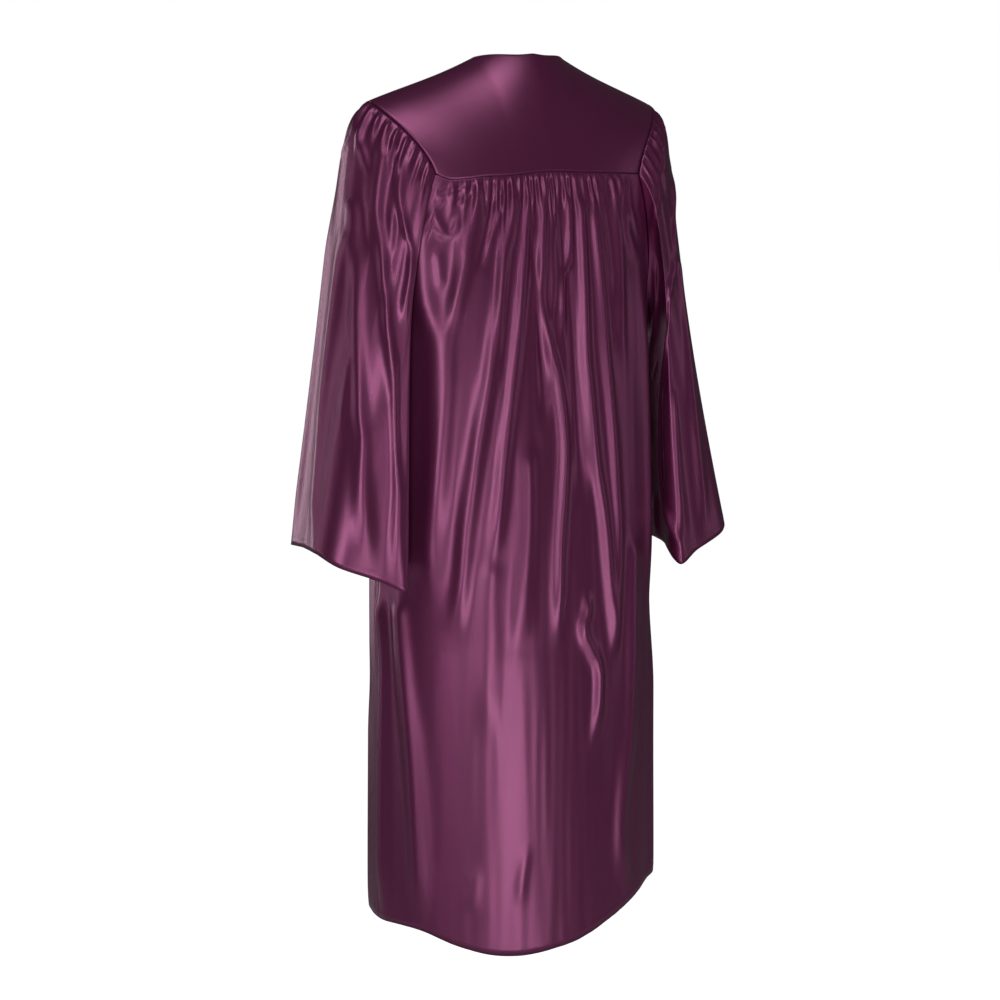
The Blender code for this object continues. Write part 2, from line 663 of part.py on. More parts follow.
def block(mesh, low, high):
    """Adds a box between two corners, given in millimetres."""
    low, high = np.array(low) / 1000, np.array(high) / 1000
    place = Matrix.Translation(tuple((low + high) / 2)) @ Matrix.Diagonal((*(high - low), 1))
    bmesh.ops.create_cube(mesh, size=1, matrix=place)


def union(name, boxes, look):
    """One solid from overlapping boxes."""
    base = None
    for number, (low, high) in enumerate(boxes):
        mesh = bpy.data.meshes.new(name)
        made = bmesh.new()
        block(made, low, high)
        made.to_mesh(mesh)
        made.free()
        if base is None:
            base = bpy.data.objects.new(name, mesh)
            base.data.materials.append(material(name, *look))
            gown.objects.link(base)
            continue
        tool = bpy.data.objects.new(f"{name}_add_{number}", mesh)
        helpers.objects.link(tool)
        join = base.modifiers.new(f"add_{number}", "BOOLEAN")
        join.operation = "UNION"
        join.solver = "EXACT"
        join.object = tool
        tool.hide_render = True
    return base


def pull_tab(look):
    """The pull tab in its own axes: a plate with a window, hanging from the bar above the window."""
    flat = [
        (-2.4, 0.5), (2.4, 0.5), (2.4, -7.4), (-2.4, -7.4),
        (-1.3, -0.5), (1.3, -0.5), (1.3, -6.6), (-1.3, -6.6),
        (2.4, -24.0), (-2.4, -24.0), (1.5, -26.0), (-1.5, -26.0),
    ]
    faces = [(0, 4, 5, 1), (1, 5, 6, 2), (2, 6, 7, 3), (3, 7, 4, 0), (2, 3, 9, 8), (8, 9, 11, 10)]
    points = [(x / 1000, 0, z / 1000) for x, z in flat]
    tab = add_object("zip_pull_tab", points, faces, look)
    plate = tab.modifiers.new("plate", "SOLIDIFY")
    plate.thickness = 0.001
    plate.offset = 0
    rounded = tab.modifiers.new("rounded", "BEVEL")
    rounded.width = 0.00026
    rounded.segments = 2
    rounded.limit_method = "ANGLE"
    return tab


def slider_and_tab():
    frame = slider_frame()
    look = (METAL_COLOUR, 0.3, 1.0)
    boxes = [
        ((-4.6, -2.3, -6.0), (4.6, -1.3, 6.0)),
        ((-4.6, 2.4, -6.0), (4.6, 3.4, 6.0)),
        ((-0.9, -1.8, 3.6), (0.9, 2.9, 5.7)),
        ((3.3, -1.9, -5.8), (4.5, 0.4, 4.8)),
        ((-4.5, -1.9, -5.8), (-3.3, 0.4, 4.8)),
        ((-0.7, -4.6, 2.9), (0.7, -1.9, 3.9)),
        ((-0.7, -4.6, -3.9), (0.7, -1.9, -2.9)),
        ((-0.8, -5.2, -4.0), (0.8, -4.1, 4.0)),
    ]
    body = union("zip_slider", boxes, look)
    pull = pull_tab(look)
    pivot = Matrix.Translation((0, -0.0032, -0.0019))
    move(body, frame)
    move(pull, frame @ pivot)
    where = (frame @ pivot).to_translation()
    print("pull tab pivot", [round(v, 5) for v in where], "tilt", round(math.degrees(frame.to_euler().x), 3))


def move(obj, matrix):
    """Moves an object's mesh, and those of its helpers, so that every object stays at the origin."""
    obj.data.transform(matrix)
    for modifier in obj.modifiers:
        if modifier.type == "BOOLEAN":
            modifier.object.data.transform(matrix)


def main():
    cloth("back_panel", [row[::-1] for row in back_panel_rows()])
    front_panel("front_left", 1)
    front_panel("front_right", -1)
    yokes()
    sleeves()
    zip_parts()
    slider_and_tab()


for old in list(bpy.data.objects):
    bpy.data.objects.remove(old)
gown = bpy.data.collections.new("graduation_gown")
helpers = bpy.data.collections.new("helpers")
bpy.context.scene.collection.children.link(gown)
bpy.context.scene.collection.children.link(helpers)
helpers.hide_render = True
main()
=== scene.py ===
# %% [markdown]
# # A satin graduation gown
#
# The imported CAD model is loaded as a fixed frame. Its cloth solids are plain walls with the garment's
# true form, so each one is replaced here by a finer shell of satin on the same form. The zip gets its
# woven tapes, its teeth and a better slider. Every size is in metres, and +Z is up.

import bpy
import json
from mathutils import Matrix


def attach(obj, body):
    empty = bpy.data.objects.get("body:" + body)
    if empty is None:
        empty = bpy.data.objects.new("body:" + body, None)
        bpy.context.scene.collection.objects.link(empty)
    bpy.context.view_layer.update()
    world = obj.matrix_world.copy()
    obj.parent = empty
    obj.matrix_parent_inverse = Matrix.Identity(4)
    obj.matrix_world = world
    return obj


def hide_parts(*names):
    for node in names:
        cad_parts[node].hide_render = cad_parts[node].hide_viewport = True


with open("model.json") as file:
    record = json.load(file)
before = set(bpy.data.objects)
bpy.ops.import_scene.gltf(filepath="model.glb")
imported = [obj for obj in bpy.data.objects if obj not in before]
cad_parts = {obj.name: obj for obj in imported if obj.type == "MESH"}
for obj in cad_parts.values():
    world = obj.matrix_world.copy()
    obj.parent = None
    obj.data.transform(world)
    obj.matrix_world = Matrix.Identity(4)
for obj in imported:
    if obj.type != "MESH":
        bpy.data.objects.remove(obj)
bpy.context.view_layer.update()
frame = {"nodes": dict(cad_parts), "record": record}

# %% Libraries
import json
import math

import bmesh
import bpy
import numpy as np
from mathutils import Matrix, Vector

scene = bpy.context.scene
print("nodes", sorted(frame["nodes"]))


def put(name, data):
    """Puts a new object with this data into the scene."""
    made = bpy.data.objects.new(name, data)
    scene.collection.objects.link(made)
    return made


# %% [markdown]
# ## Camera, floor and light
#
# The gown was photographed from behind and to the wearer's left, from a little above, with a long lens.
# A long lens keeps the near sleeve from looking too large, so the camera stands 3.5 metres away.

# %% Camera
VIEW_TURN = math.radians(29.96)  # from straight behind towards the wearer's left
VIEW_PITCH = math.radians(8.30)
VIEW_DISTANCE = 3.4764
VIEW_HEIGHT = -0.1084
VIEW_ASIDE = -0.0188


def camera_matrix():
    """The camera's place and turn, with its own -Z axis pointing at the gown."""
    back = Vector((math.sin(VIEW_TURN), math.cos(VIEW_TURN), 0))
    right = Vector((-math.cos(VIEW_TURN), math.sin(VIEW_TURN), 0))
    look = -back * math.cos(VIEW_PITCH) - Vector((0, 0, math.sin(VIEW_PITCH)))
    up = right.cross(look)
    turn = Matrix((right, up, -look)).transposed().to_4x4()
    place = back * VIEW_DISTANCE + right * VIEW_ASIDE + Vector((0, 0, VIEW_HEIGHT))
    return Matrix.Translation(place) @ turn


lens = bpy.data.cameras.new("camera")
lens.lens = 85
lens.sensor_width = 36
camera = put("camera", lens)
camera.matrix_world = camera_matrix()
scene.camera = camera
print("camera at", [round(v, 3) for v in camera.location])

# %% Node helpers


def add_node(tree, kind, inputs=None, **settings):
    """Adds a node. inputs maps a socket's name or number to a value or to another node's output."""
    node = tree.nodes.new(kind)
    for name, value in settings.items():
        setattr(node, name, value)
    for name, value in (inputs or {}).items():
        socket = node.inputs[name]
        if isinstance(value, bpy.types.NodeSocket):
            tree.links.new(value, socket)
        else:
            socket.default_value = value
    return node


def maths(tree, kind, *values):
    """One sum on values or other nodes' outputs."""
    return add_node(tree, "ShaderNodeMath", dict(enumerate(values)), operation=kind).outputs[0]


def vector(tree, *parts):
    """A vector from up to three values or other nodes' outputs."""
    return add_node(tree, "ShaderNodeCombineXYZ", dict(enumerate(parts))).outputs[0]


def noise(tree, place, scale, detail):
    return add_node(tree, "ShaderNodeTexNoise", {"Vector": place, "Scale": scale, "Detail": detail}).outputs[0]


# %% Floor and lights
FLOOR_Z = -2.20  # the gown hangs well clear of it, so no shadow shows
FLOOR_HALF = 30
FADE_FROM, FADE_TO = 1.5, 3.2  # distances from the origin between which the paper turns white


def floor_paper():
    """White paper that fades into the white backdrop away from the gown, as a studio sweep does."""
    made = bpy.data.materials.new("floor_paper")
    made.use_nodes = True
    tree = made.node_tree
    tree.nodes.clear()
    paper = add_node(tree, "ShaderNodeBsdfDiffuse", {"Color": (0.8, 0.8, 0.8, 1)})
    place = add_node(tree, "ShaderNodeTexCoord").outputs["Object"]
    far = add_node(tree, "ShaderNodeVectorMath", {0: place}, operation="LENGTH").outputs["Value"]
    glow = add_node(tree, "ShaderNodeMapRange", {0: far, 1: FADE_FROM, 2: FADE_TO, 3: 0.62, 4: 1.0}).outputs[0]
    seen = add_node(tree, "ShaderNodeLightPath").outputs["Is Camera Ray"]
    power = maths(tree, "MULTIPLY", glow, seen)
    lit = add_node(tree, "ShaderNodeEmission", {"Color": (1, 1, 1, 1), "Strength": power})
    both = add_node(tree, "ShaderNodeAddShader", {0: paper.outputs[0], 1: lit.outputs[0]})
    add_node(tree, "ShaderNodeOutputMaterial", {"Surface": both.outputs[0]})
    return made


def soft_light(name, place, aim, size, power):
    """A softbox: a rectangular area light at place that faces aim. power is in watts."""
    data = bpy.data.lights.new(name, "AREA")
    data.shape = "RECTANGLE"
    data.size, data.size_y = size
    data.energy = power
    way = Vector(aim) - Vector(place)
    light = put(name, data)
    light.matrix_world = Matrix.Translation(place) @ way.to_track_quat("-Z", "Y").to_matrix().to_4x4()


mesh = bpy.data.meshes.new("floor")
corners = [(x * FLOOR_HALF, y * FLOOR_HALF, FLOOR_Z) for x, y in ((-1, -1), (1, -1), (1, 1), (-1, 1))]
mesh.from_pydata(corners, [], [(0, 1, 2, 3)])
mesh.materials.append(floor_paper())
put("floor", mesh)

soft_light("key_high", (1.88, 2.59, -0.40), (0, 0, -0.40), (0.4, 1.2), 18)
soft_light("key_low", (0.0, 3.2, -1.65), (0, 0, -0.95), (0.95, 1.0), 18)
soft_light("top", (0.80, 1.60, 1.95), (0, 0, -0.05), (1.6, 1.6), 23)
soft_light("left", (2.7, -1.3, -0.5), (0, 0, -0.65), (0.5, 2.0), 6)
soft_light("right", (-2.7, 1.2, -0.5), (0, 0, -0.65), (0.5, 2.0), 2.5)
soft_light("front", (1.3, -2.8, -0.4), (0, 0, -0.65), (0.6, 2.0), 13)

world = bpy.data.worlds.new("studio")
world.use_nodes = True
scene.world = world
sky = world.node_tree
sky.nodes.clear()
path = add_node(sky, "ShaderNodeLightPath")
white = add_node(sky, "ShaderNodeBackground", {"Color": (1, 1, 1, 1), "Strength": 1.0})
dim = add_node(sky, "ShaderNodeBackground", {"Color": (1, 1, 1, 1), "Strength": 0.05})
both = add_node(sky, "ShaderNodeMixShader", {0: path.outputs["Is Camera Ray"], 1: dim.outputs[0], 2: white.outputs[0]})
add_node(sky, "ShaderNodeOutputWorld", {"Surface": both.outputs[0]})
scene.view_settings.view_transform = "Standard"

# %% [markdown]
# ## The gown's sizes
#
# These tables and curves are the ones that the CAD solids were made from. Repeating them here gives
# every fine cloth piece exactly its solid's form, with no fitting by eye.

# %% Driving sizes
SHOULDER_HALF = 0.233  # from the middle to a shoulder tip
SHOULDER_DROP = 0.063
NECK_HALF = 0.073
NECK_BACK = 0.055  # how far behind the shoulders the neck edge lies at the centre back
NECK_SIDE = 0.016  # and at the neck points
NECK_SHARE = 5 / 13  # of the back yoke's width
RIDGE_RISE = 0.036
GAP = 0.0003  # between neighbouring pieces
SEAM_CLEAR = 1.2 * GAP  # from a seam's line down to the gathered cloth's edge
BODY_RADIUS = 0.215  # a mean, which turns an angle round the body into a width of cloth
SIDE_PULL = 1.3 * GAP / BODY_RADIUS  # the angle that each panel stops short of the side seam
UNDERARM_Z = -0.335
FRONT_SEAM_Z = -0.125
CORNER_Z = -0.1345
BACK_CORNER = math.radians(114)  # angles run from the front centre towards the wearer's left
FRONT_CORNER = math.radians(64)
SIDE_SEAM = math.radians(90)
BACK_GATHERS = 26
FRONT_GATHERS = 10
CAP_GATHERS = 18
GATHER_DEPTH = 0.0027
GATHER_START = 0.012  # the way under a seam over which a gather grows to its full depth
YOKE_DEEP = 0.15  # from the shoulder seam to the gathered seam
FRONT_YOKE_WIDE = 0.2
ZIP_END_Z = -0.9135
ZIP_SLOT = 0.0055  # half the distance between the front edges along the zip
SLEEVE_TRIM = 0.0014
SLEEVE_LONG = 0.62


def table(names, rows):
    """A table as {column name: array}."""
    return dict(zip(names.split(), np.array(rows, float).T))


# %% Rings of the body, its hem and the back yoke's seam
BODY = table(
    "z half_width back front square",
    [
        (-0.125, 0.216, 0.096, 0.100, 2.8),
        (-0.340, 0.213, 0.120, 0.122, 2.5),
        (-0.620, 0.217, 0.136, 0.132, 2.3),
        (-0.950, 0.223, 0.148, 0.138, 2.1),
        (-1.280, 0.229, 0.154, 0.142, 2.0),
    ],
)
HEM = table(
    "degrees z",
    [
        (0, -1.226),
        (30, -1.222),
        (60, -1.220),
        (90, -1.222),
        (110, -1.224),
        (126, -1.246),
        (139, -1.259),
        (155, -1.264),
        (173, -1.260),
        (188, -1.254),
        (211, -1.234),
        (229, -1.216),
        (245, -1.200),
        (270, -1.196),
        (300, -1.206),
        (330, -1.220),
        (360, -1.226),
    ],
)
SEAM = table(
    "degrees z",
    [
        (114, -0.1345),
        (119, -0.1415),
        (124, -0.1410),
        (132, -0.1380),
        (145, -0.1365),
        (155, -0.1350),
        (178, -0.1310),
        (215, -0.1320),
        (238, -0.1335),
        (246, -0.1345),
    ],
)

# %% Folds down the body
FOLDS = table(
    "top top_z mid mid_z foot foot_z wide height",
    [
        (139, -0.150, 136, -0.200, 132, -0.270, 0.008, -0.0040),
        (163, -0.200, 168, -0.330, 170, -0.500, 0.012, -0.0040),
        (192, -0.200, 194, -0.380, 196, -0.620, 0.014, -0.0050),
        (241, -0.260, 246, -0.500, 247, -0.800, 0.015, 0.0065),
        (252, -0.780, 252, -1.000, 250, -1.300, 0.018, 0.0070),
        (272, -0.420, 270, -0.700, 268, -1.000, 0.018, 0.0060),
        (283, -0.300, 286, -0.600, 283, -0.900, 0.014, 0.0060),
        (276, -0.850, 278, -1.050, 280, -1.300, 0.020, 0.0080),
        (298, -0.200, 300, -0.450, 305, -0.780, 0.013, 0.0060),
        (303, -0.750, 301, -1.000, 297, -1.300, 0.022, 0.0100),
        (313, -0.260, 317, -0.500, 314, -0.720, 0.012, 0.0055),
        (330, -0.180, 328, -0.420, 333, -0.700, 0.011, 0.0050),
        (324, -0.680, 327, -0.980, 325, -1.300, 0.020, 0.0085),
        (340, -0.480, 342, -0.750, 339, -1.000, 0.012, 0.0040),
        (17, -0.300, 19, -0.520, 16, -0.800, 0.012, 0.0045),
        (29, -0.180, 33, -0.400, 31, -0.690, 0.012, 0.0060),
        (25, -0.720, 28, -0.950, 30, -1.300, 0.022, 0.0095),
        (44, -0.210, 49, -0.480, 53, -0.820, 0.013, 0.0065),
        (60, -0.240, 65, -0.460, 62, -0.700, 0.012, 0.0055),
        (52, -0.800, 50, -1.000, 46, -1.300, 0.022, 0.0100),
        (74, -0.420, 77, -0.680, 74, -0.950, 0.015, 0.0060),
        (71, -0.850, 74, -1.050, 72, -1.300, 0.020, 0.0085),
        (88, -0.450, 90, -0.650, 88, -0.850, 0.014, 0.0050),
    ],
)

# %% Lines down a sleeve and its folds
SLEEVE = table(
    "share swell_x swell_y swell_z rise fall hem_x hem_y hem_z",
    [
        (0.00, 0.028, 0.000, 0.005, 0.040, 1.6, 0.340, -0.008, -0.660),
        (0.08, 0.018, 0.008, 0.003, 0.040, 2.4, 0.346, 0.046, -0.661),
        (0.16, 0.014, 0.014, 0.001, 0.045, 2.4, 0.326, 0.078, -0.678),
        (0.24, 0.015, 0.018, 0.000, 0.050, 2.0, 0.270, 0.092, -0.700),
        (0.305, 0.022, 0.014, 0.000, 0.050, 1.8, 0.232, 0.102, -0.717),
        (0.35, 0.028, 0.007, 0.000, 0.045, 1.8, 0.231, 0.076, -0.702),
        (0.44, 0.026, 0.002, 0.000, 0.040, 2.0, 0.243, 0.036, -0.691),
        (0.52, 0.024, 0.000, 0.000, 0.040, 2.0, 0.247, -0.022, -0.686),
        (0.62, 0.024, -0.006, 0.000, 0.045, 2.0, 0.246, -0.090, -0.682),
        (0.72, 0.022, -0.016, 0.000, 0.050, 1.8, 0.256, -0.130, -0.680),
        (0.80, 0.022, -0.020, 0.000, 0.050, 1.4, 0.284, -0.134, -0.676),
        (0.90, 0.031, -0.018, 0.003, 0.040, 1.0, 0.322, -0.088, -0.668),
        (1.00, 0.028, 0.000, 0.005, 0.040, 1.6, 0.340, -0.008, -0.660),
    ],
)
SLEEVE_FOLDS = table(
    "top foot start end wide height",
    [
        (0.33, 0.33, 0.35, 1.10, 0.018, 0.0045),
        (0.56, 0.55, 0.30, 1.10, 0.024, 0.0050),
        (0.71, 0.73, 0.08, 0.75, 0.018, 0.0055),
        (0.79, 0.80, 0.20, 1.10, 0.020, 0.0060),
        (0.87, 0.86, 0.06, 0.65, 0.018, 0.0050),
        (0.94, 0.93, 0.15, 1.10, 0.020, 0.0055),
    ],
)
print(len(FOLDS["top"]), "folds on the body and", len(SLEEVE_FOLDS["top"]), "on each sleeve")

# %% [markdown]
# ## Single ridges
#
# A few folds stand out one by one: the long ones that fan out below the yoke, and the short creases at
# the cuffs and the shoulder. Each is given as a line of places on the cloth with a width and a height,
# because no even rule would put them where gravity and handling did.

# %% Single ridges seen in the satin
BACK_RIDGES = [  # (width, height, [(degrees, z), ...]), each from its top down
    (0.0154, 0.0069, [(109.3, -0.200), (109.0, -0.253), (110.3, -0.302), (113.8, -0.344), (115.6, -0.379),
        (115.6, -0.506), (114.5, -0.592), (114.3, -0.678), (114.0, -0.743)]),
    (0.0126, 0.0056, [(130.0, -0.145), (130.0, -0.170), (126.9, -0.233), (126.0, -0.267), (121.2, -0.337),
        (120.2, -0.379), (120.2, -0.449), (117.9, -0.570), (116.5, -0.649)]),
    (0.0126, 0.0063, [(152.6, -0.145), (147.1, -0.219), (144.4, -0.257), (140.1, -0.359), (137.6, -0.415),
        (132.1, -0.528), (128.3, -0.634), (126.9, -0.692), (123.6, -0.793)]),
    (0.0126, 0.0063, [(161.0, -0.150), (159.5, -0.199), (157.5, -0.255), (154.5, -0.318), (152.0, -0.374),
        (146.0, -0.508), (143.8, -0.571), (141.8, -0.628), (139.5, -0.692)]),
    (0.018, 0.0044, [(139.5, -0.678), (138.2, -0.736), (138.0, -0.793), (137.2, -0.866), (139.0, -0.939)]),
    (0.005, 0.0016, [(166.0, -0.147), (166.3, -0.178)]),
    (0.0126, 0.0063, [(175.1, -0.143), (171.3, -0.248), (169.1, -0.312), (175.5, -0.386), (180.3, -0.426),
        (184.3, -0.520), (181.1, -0.620), (179.1, -0.678), (177.1, -0.794)]),
    (0.0098, 0.0037, [(183.2, -0.143), (182.2, -0.192), (180.5, -0.242), (179.8, -0.291), (176.0, -0.340)]),
    (0.0098, 0.0044, [(192.7, -0.150), (197.0, -0.174), (197.0, -0.207), (194.2, -0.249), (189.2, -0.284),
        (186.2, -0.327), (182.7, -0.376)]),
    (0.0126, 0.0069, [(208.7, -0.164), (206.0, -0.228), (202.3, -0.371), (203.0, -0.436), (206.0, -0.545),
        (209.3, -0.604), (211.7, -0.663), (214.5, -0.790), (213.5, -0.835)]),
    (0.0112, 0.0063, [(216.3, -0.157), (216.3, -0.207), (216.0, -0.329), (216.0, -0.394), (218.7, -0.518),
        (219.7, -0.592), (220.3, -0.666), (216.5, -0.806), (212.8, -0.842)]),
    (0.006, 0.003, [(222.8, -0.143), (221.5, -0.200), (221.8, -0.261), (222.8, -0.316)]),
    (0.0112, 0.0056, [(229.4, -0.143), (229.9, -0.189), (229.9, -0.244), (228.6, -0.302), (227.2, -0.352),
        (227.9, -0.404)]),
    (0.006, 0.0035, [(237.0, -0.146), (238.0, -0.175), (240.1, -0.202), (242.6, -0.222)]),
    (0.0098, 0.0044, [(236.8, -0.180), (236.3, -0.219), (238.6, -0.245), (242.0, -0.259)]),
    (0.018, 0.005, [(159.0, -0.520), (159.5, -0.581), (158.8, -0.638), (157.0, -0.695), (155.2, -0.752),
        (153.5, -0.810)]),
    (0.05, 0.0012, [(155.5, -0.810), (154.5, -0.883), (151.5, -0.956), (150.0, -1.029), (149.0, -1.103),
        (149.2, -1.178), (149.2, -1.253)]),
    (0.0112, 0.0063, [(196.9, -0.740), (197.2, -0.765), (194.2, -0.791), (198.9, -0.819), (204.2, -0.851),
        (203.9, -0.898), (201.4, -0.935), (197.6, -0.978)]),
    (0.018, 0.0081, [(230.4, -0.670), (229.6, -0.760), (228.6, -0.835), (226.4, -0.909), (224.6, -0.977),
        (220.6, -1.043), (218.1, -1.110), (221.1, -1.166), (225.8, -1.201)]),
    (0.0126, 0.0088, [(90.7, -0.745), (92.5, -0.817), (92.7, -0.891), (92.5, -0.980), (92.7, -1.070),
        (93.0, -1.145), (93.3, -1.209)]),
    (0.0126, 0.0081, [(101.0, -0.739), (102.3, -0.797), (104.3, -0.869), (106.5, -0.942), (108.3, -1.030),
        (109.5, -1.104), (110.3, -1.164), (110.7, -1.218)]),
    (0.006, 0.0025, [(140.0, -0.149), (143.7, -0.163), (141.5, -0.191), (138.0, -0.215), (135.0, -0.247)]),
    (0.004, 0.0016, [(140.1, -0.170), (137.5, -0.201), (133.8, -0.215)]),
    (0.003, 0.0012, [(118.0, -0.142), (114.5, -0.156), (112.8, -0.166)]),
    (0.003, 0.0013, [(121.0, -0.156), (117.3, -0.163), (113.5, -0.167)]),
    (0.0035, 0.0016, [(126.5, -0.146), (120.0, -0.164), (114.5, -0.178), (113.0, -0.186)]),
    (0.0035, 0.0014, [(128.8, -0.156), (124.5, -0.173), (120.2, -0.184)]),
    (0.005, 0.0022, [(113.0, -0.177), (115.0, -0.198), (118.5, -0.217), (121.0, -0.214), (122.2, -0.198),
        (122.2, -0.177)]),
    (0.004, 0.0016, [(112.0, -0.200), (115.0, -0.214), (118.5, -0.225)]),
    (0.006, 0.0018, [(115.5, -0.239), (116.7, -0.274), (117.5, -0.295)]),
    (0.01, 0.002, [(132.5, -1.128), (131.8, -1.161), (130.8, -1.198)]),
    (0.01, 0.002, [(157.5, -1.106), (154.8, -1.150), (153.8, -1.188)]),
]
LEFT_SLEEVE_RIDGES = [  # (width, height, [(share, down), ...])
    (0.012, 0.005, [(0.025, 0.21), (0.038, 0.27), (0.063, 0.40), (0.080, 0.48), (0.128, 0.64), (0.150, 0.69),
        (0.167, 0.77), (0.202, 0.92), (0.213, 0.98)]),
    (0.012, 0.0055, [(0.025, 0.28), (0.013, 0.34), (0.008, 0.41), (0.002, 0.56), (0.003, 0.65), (0.008, 0.72),
        (0.028, 0.88), (0.050, 0.95), (0.067, 1.00)]),
    (0.009, 0.005, [(0.073, 0.05), (0.077, 0.17), (0.090, 0.23), (0.132, 0.35), (0.153, 0.41), (0.212, 0.56),
        (0.255, 0.72), (0.265, 0.82), (0.272, 0.98)]),
    (0.007, 0.003, [(0.008, 0.05), (0.027, 0.09), (0.045, 0.12), (0.057, 0.15)]),
    (0.004, 0.0015, [(0.017, 0.00), (0.042, 0.02), (0.048, 0.05)]),
    (0.005, 0.002, [(0.060, 0.01), (0.070, 0.04), (0.068, 0.07)]),
    (0.005, 0.002, [(0.078, 0.02), (0.097, 0.05), (0.105, 0.09)]),
    (0.007, 0.0035, [(0.122, 0.03), (0.117, 0.08), (0.127, 0.14), (0.147, 0.18), (0.187, 0.22)]),
    (0.007, 0.0035, [(0.175, 0.21), (0.185, 0.26), (0.187, 0.31), (0.187, 0.37)]),
    (0.008, 0.0022, [(0.070, 0.53), (0.073, 0.59), (0.077, 0.65), (0.082, 0.71)]),
    (0.006, 0.002, [(-0.032, 0.12), (-0.017, 0.10), (-0.002, 0.08)]),
    (0.007, 0.0022, [(0.053, 0.13), (0.058, 0.19), (0.075, 0.25), (0.095, 0.31)]),
    (0.006, 0.0018, [(0.115, 0.17), (0.125, 0.24), (0.130, 0.28)]),
]
RIGHT_SLEEVE_RIDGES = [  # as on the left sleeve
    (0.009, 0.005, [(0.042, 0.14), (0.117, 0.24), (0.138, 0.29), (0.257, 0.34), (0.318, 0.37), (0.390, 0.53),
        (0.398, 0.76), (0.345, 0.86), (0.280, 0.97)]),
    (0.009, 0.004, [(0.260, 0.52), (0.265, 0.60), (0.270, 0.68), (0.275, 0.77), (0.275, 0.85), (0.272, 0.94)]),
    (0.01, 0.005, [(0.108, 0.30), (0.122, 0.37), (0.137, 0.45), (0.157, 0.55), (0.173, 0.64), (0.187, 0.74),
        (0.198, 0.83), (0.208, 0.92), (0.215, 0.99)]),
    (0.007, 0.003, [(0.358, 0.02), (0.417, 0.04), (0.458, 0.11), (0.473, 0.21)]),
    (0.007, 0.003, [(0.107, 0.04), (0.153, 0.07), (0.182, 0.10), (0.283, 0.02), (0.332, 0.01)]),
    (0.005, 0.0015, [(0.437, 0.28), (0.460, 0.34)]),
    (0.007, 0.003, [(0.457, 0.82), (0.462, 0.92), (0.458, 1.00)]),
    (0.006, 0.0025, [(0.020, 0.03), (0.097, 0.05), (0.120, 0.10), (0.122, 0.16)]),
    (0.005, 0.002, [(0.035, 0.01), (0.095, 0.02), (0.132, 0.04)]),
]

# %% Curves through the tables


def cubic(start, end, leave, arrive, t):
    """The cubic from start to end with those end slopes."""
    return (
        (2 * t**3 - 3 * t**2 + 1) * start
        + (t**3 - 2 * t**2 + t) * leave
        + (3 * t**2 - 2 * t**3) * end
        + (t**3 - t**2) * arrive
    )


def read(rows, column, at, key="z"):
    """A smooth curve through one column of a table, at the given values of its key column."""
    x, y = rows[key], rows[column]
    if x[0] > x[-1]:
        x, y = x[::-1], y[::-1]
    slope = np.gradient(y, x)
    at = np.clip(at, x[0], x[-1])
    i = np.clip(np.searchsorted(x, at) - 1, 0, len(x) - 2)
    step = x[i + 1] - x[i]
    return cubic(y[i], y[i + 1], step * slope[i], step * slope[i + 1], (at - x[i]) / step)


def ease(t):
    """0 to 1 with level ends."""
    t = np.clip(t, 0, 1)
    return t * t * (3 - 2 * t)


def unit(v):
    return v / np.linalg.norm(v, axis=-1, keepdims=True)


def hermite(start, end, leave, arrive, t):
    """Points on the cubic from start to end with those end tangents."""
    return cubic(start, end, leave, arrive, np.asarray(t, float)[..., None])


def hump(t, rise, fall):
    """0 at 0, rising within about rise, then dying away to 0 at 1."""
    return (1 - np.exp(-t / rise)) * (1 - t) ** fall


def way_along(path):
    """The distance along a line of points, at each of them."""
    return np.concatenate([[0], np.cumsum(np.linalg.norm(np.diff(path, axis=0), axis=1))])


def smooth_line(points, steps=5):
    """Points along a smooth curve through the given points."""
    points = np.array(points, float)
    ends = np.concatenate([2 * points[:1] - points[1:2], points, 2 * points[-1:] - points[-2:-1]])
    slopes = (ends[2:] - ends[:-2]) / 2
    t = np.linspace(0, 1, steps + 1)[:-1]
    spans = [hermite(a, b, m, n, t) for a, b, m, n in zip(points, points[1:], slopes, slopes[1:])]
    return np.concatenate(spans + [points[-1:]])


RIDGE_FADE = 0.10  # the way over which a ridge dies away at its foot
RIDGE_START = 0.03  # and over which it rises at its top


def ridges_at(ridges, u, v, unit_u, unit_v):
    """How far the ridges raise the cloth. u and v are where, and the units turn both into metres."""
    total = np.zeros(np.broadcast(u, v).shape)
    u, v = np.broadcast_arrays(u * unit_u, v * unit_v)
    for wide, height, points in ridges:
        path = smooth_line(points) * np.array([unit_u, unit_v])
        low, high = path.min(axis=0) - 3 * wide, path.max(axis=0) + 3 * wide
        near = (u > low[0]) & (u < high[0]) & (v > low[1]) & (v < high[1])
        if not near.any():
            continue
        place = np.stack([u[near], v[near]], axis=-1)
        way = way_along(path)
        best, along = np.full(len(place), np.inf), np.zeros(len(place))
        for start, end, done in zip(path, path[1:], way):
            step = end - start
            t = np.clip((place - start) @ step / (step @ step), 0, 1)
            away = np.linalg.norm(place - start - t[:, None] * step, axis=-1)
            closer = away < best
            best = np.where(closer, away, best)
            along = np.where(closer, done + t * np.linalg.norm(step), along)
        taper = min(RIDGE_FADE, way[-1] / 2.5)
        fades = ease(along / min(RIDGE_START, taper) + 0.3) * ease((way[-1] - along) / taper + 0.2)
        total[near] += height * fades * np.exp(-((best / wide) ** 2))
    return total


# %% The body's surface


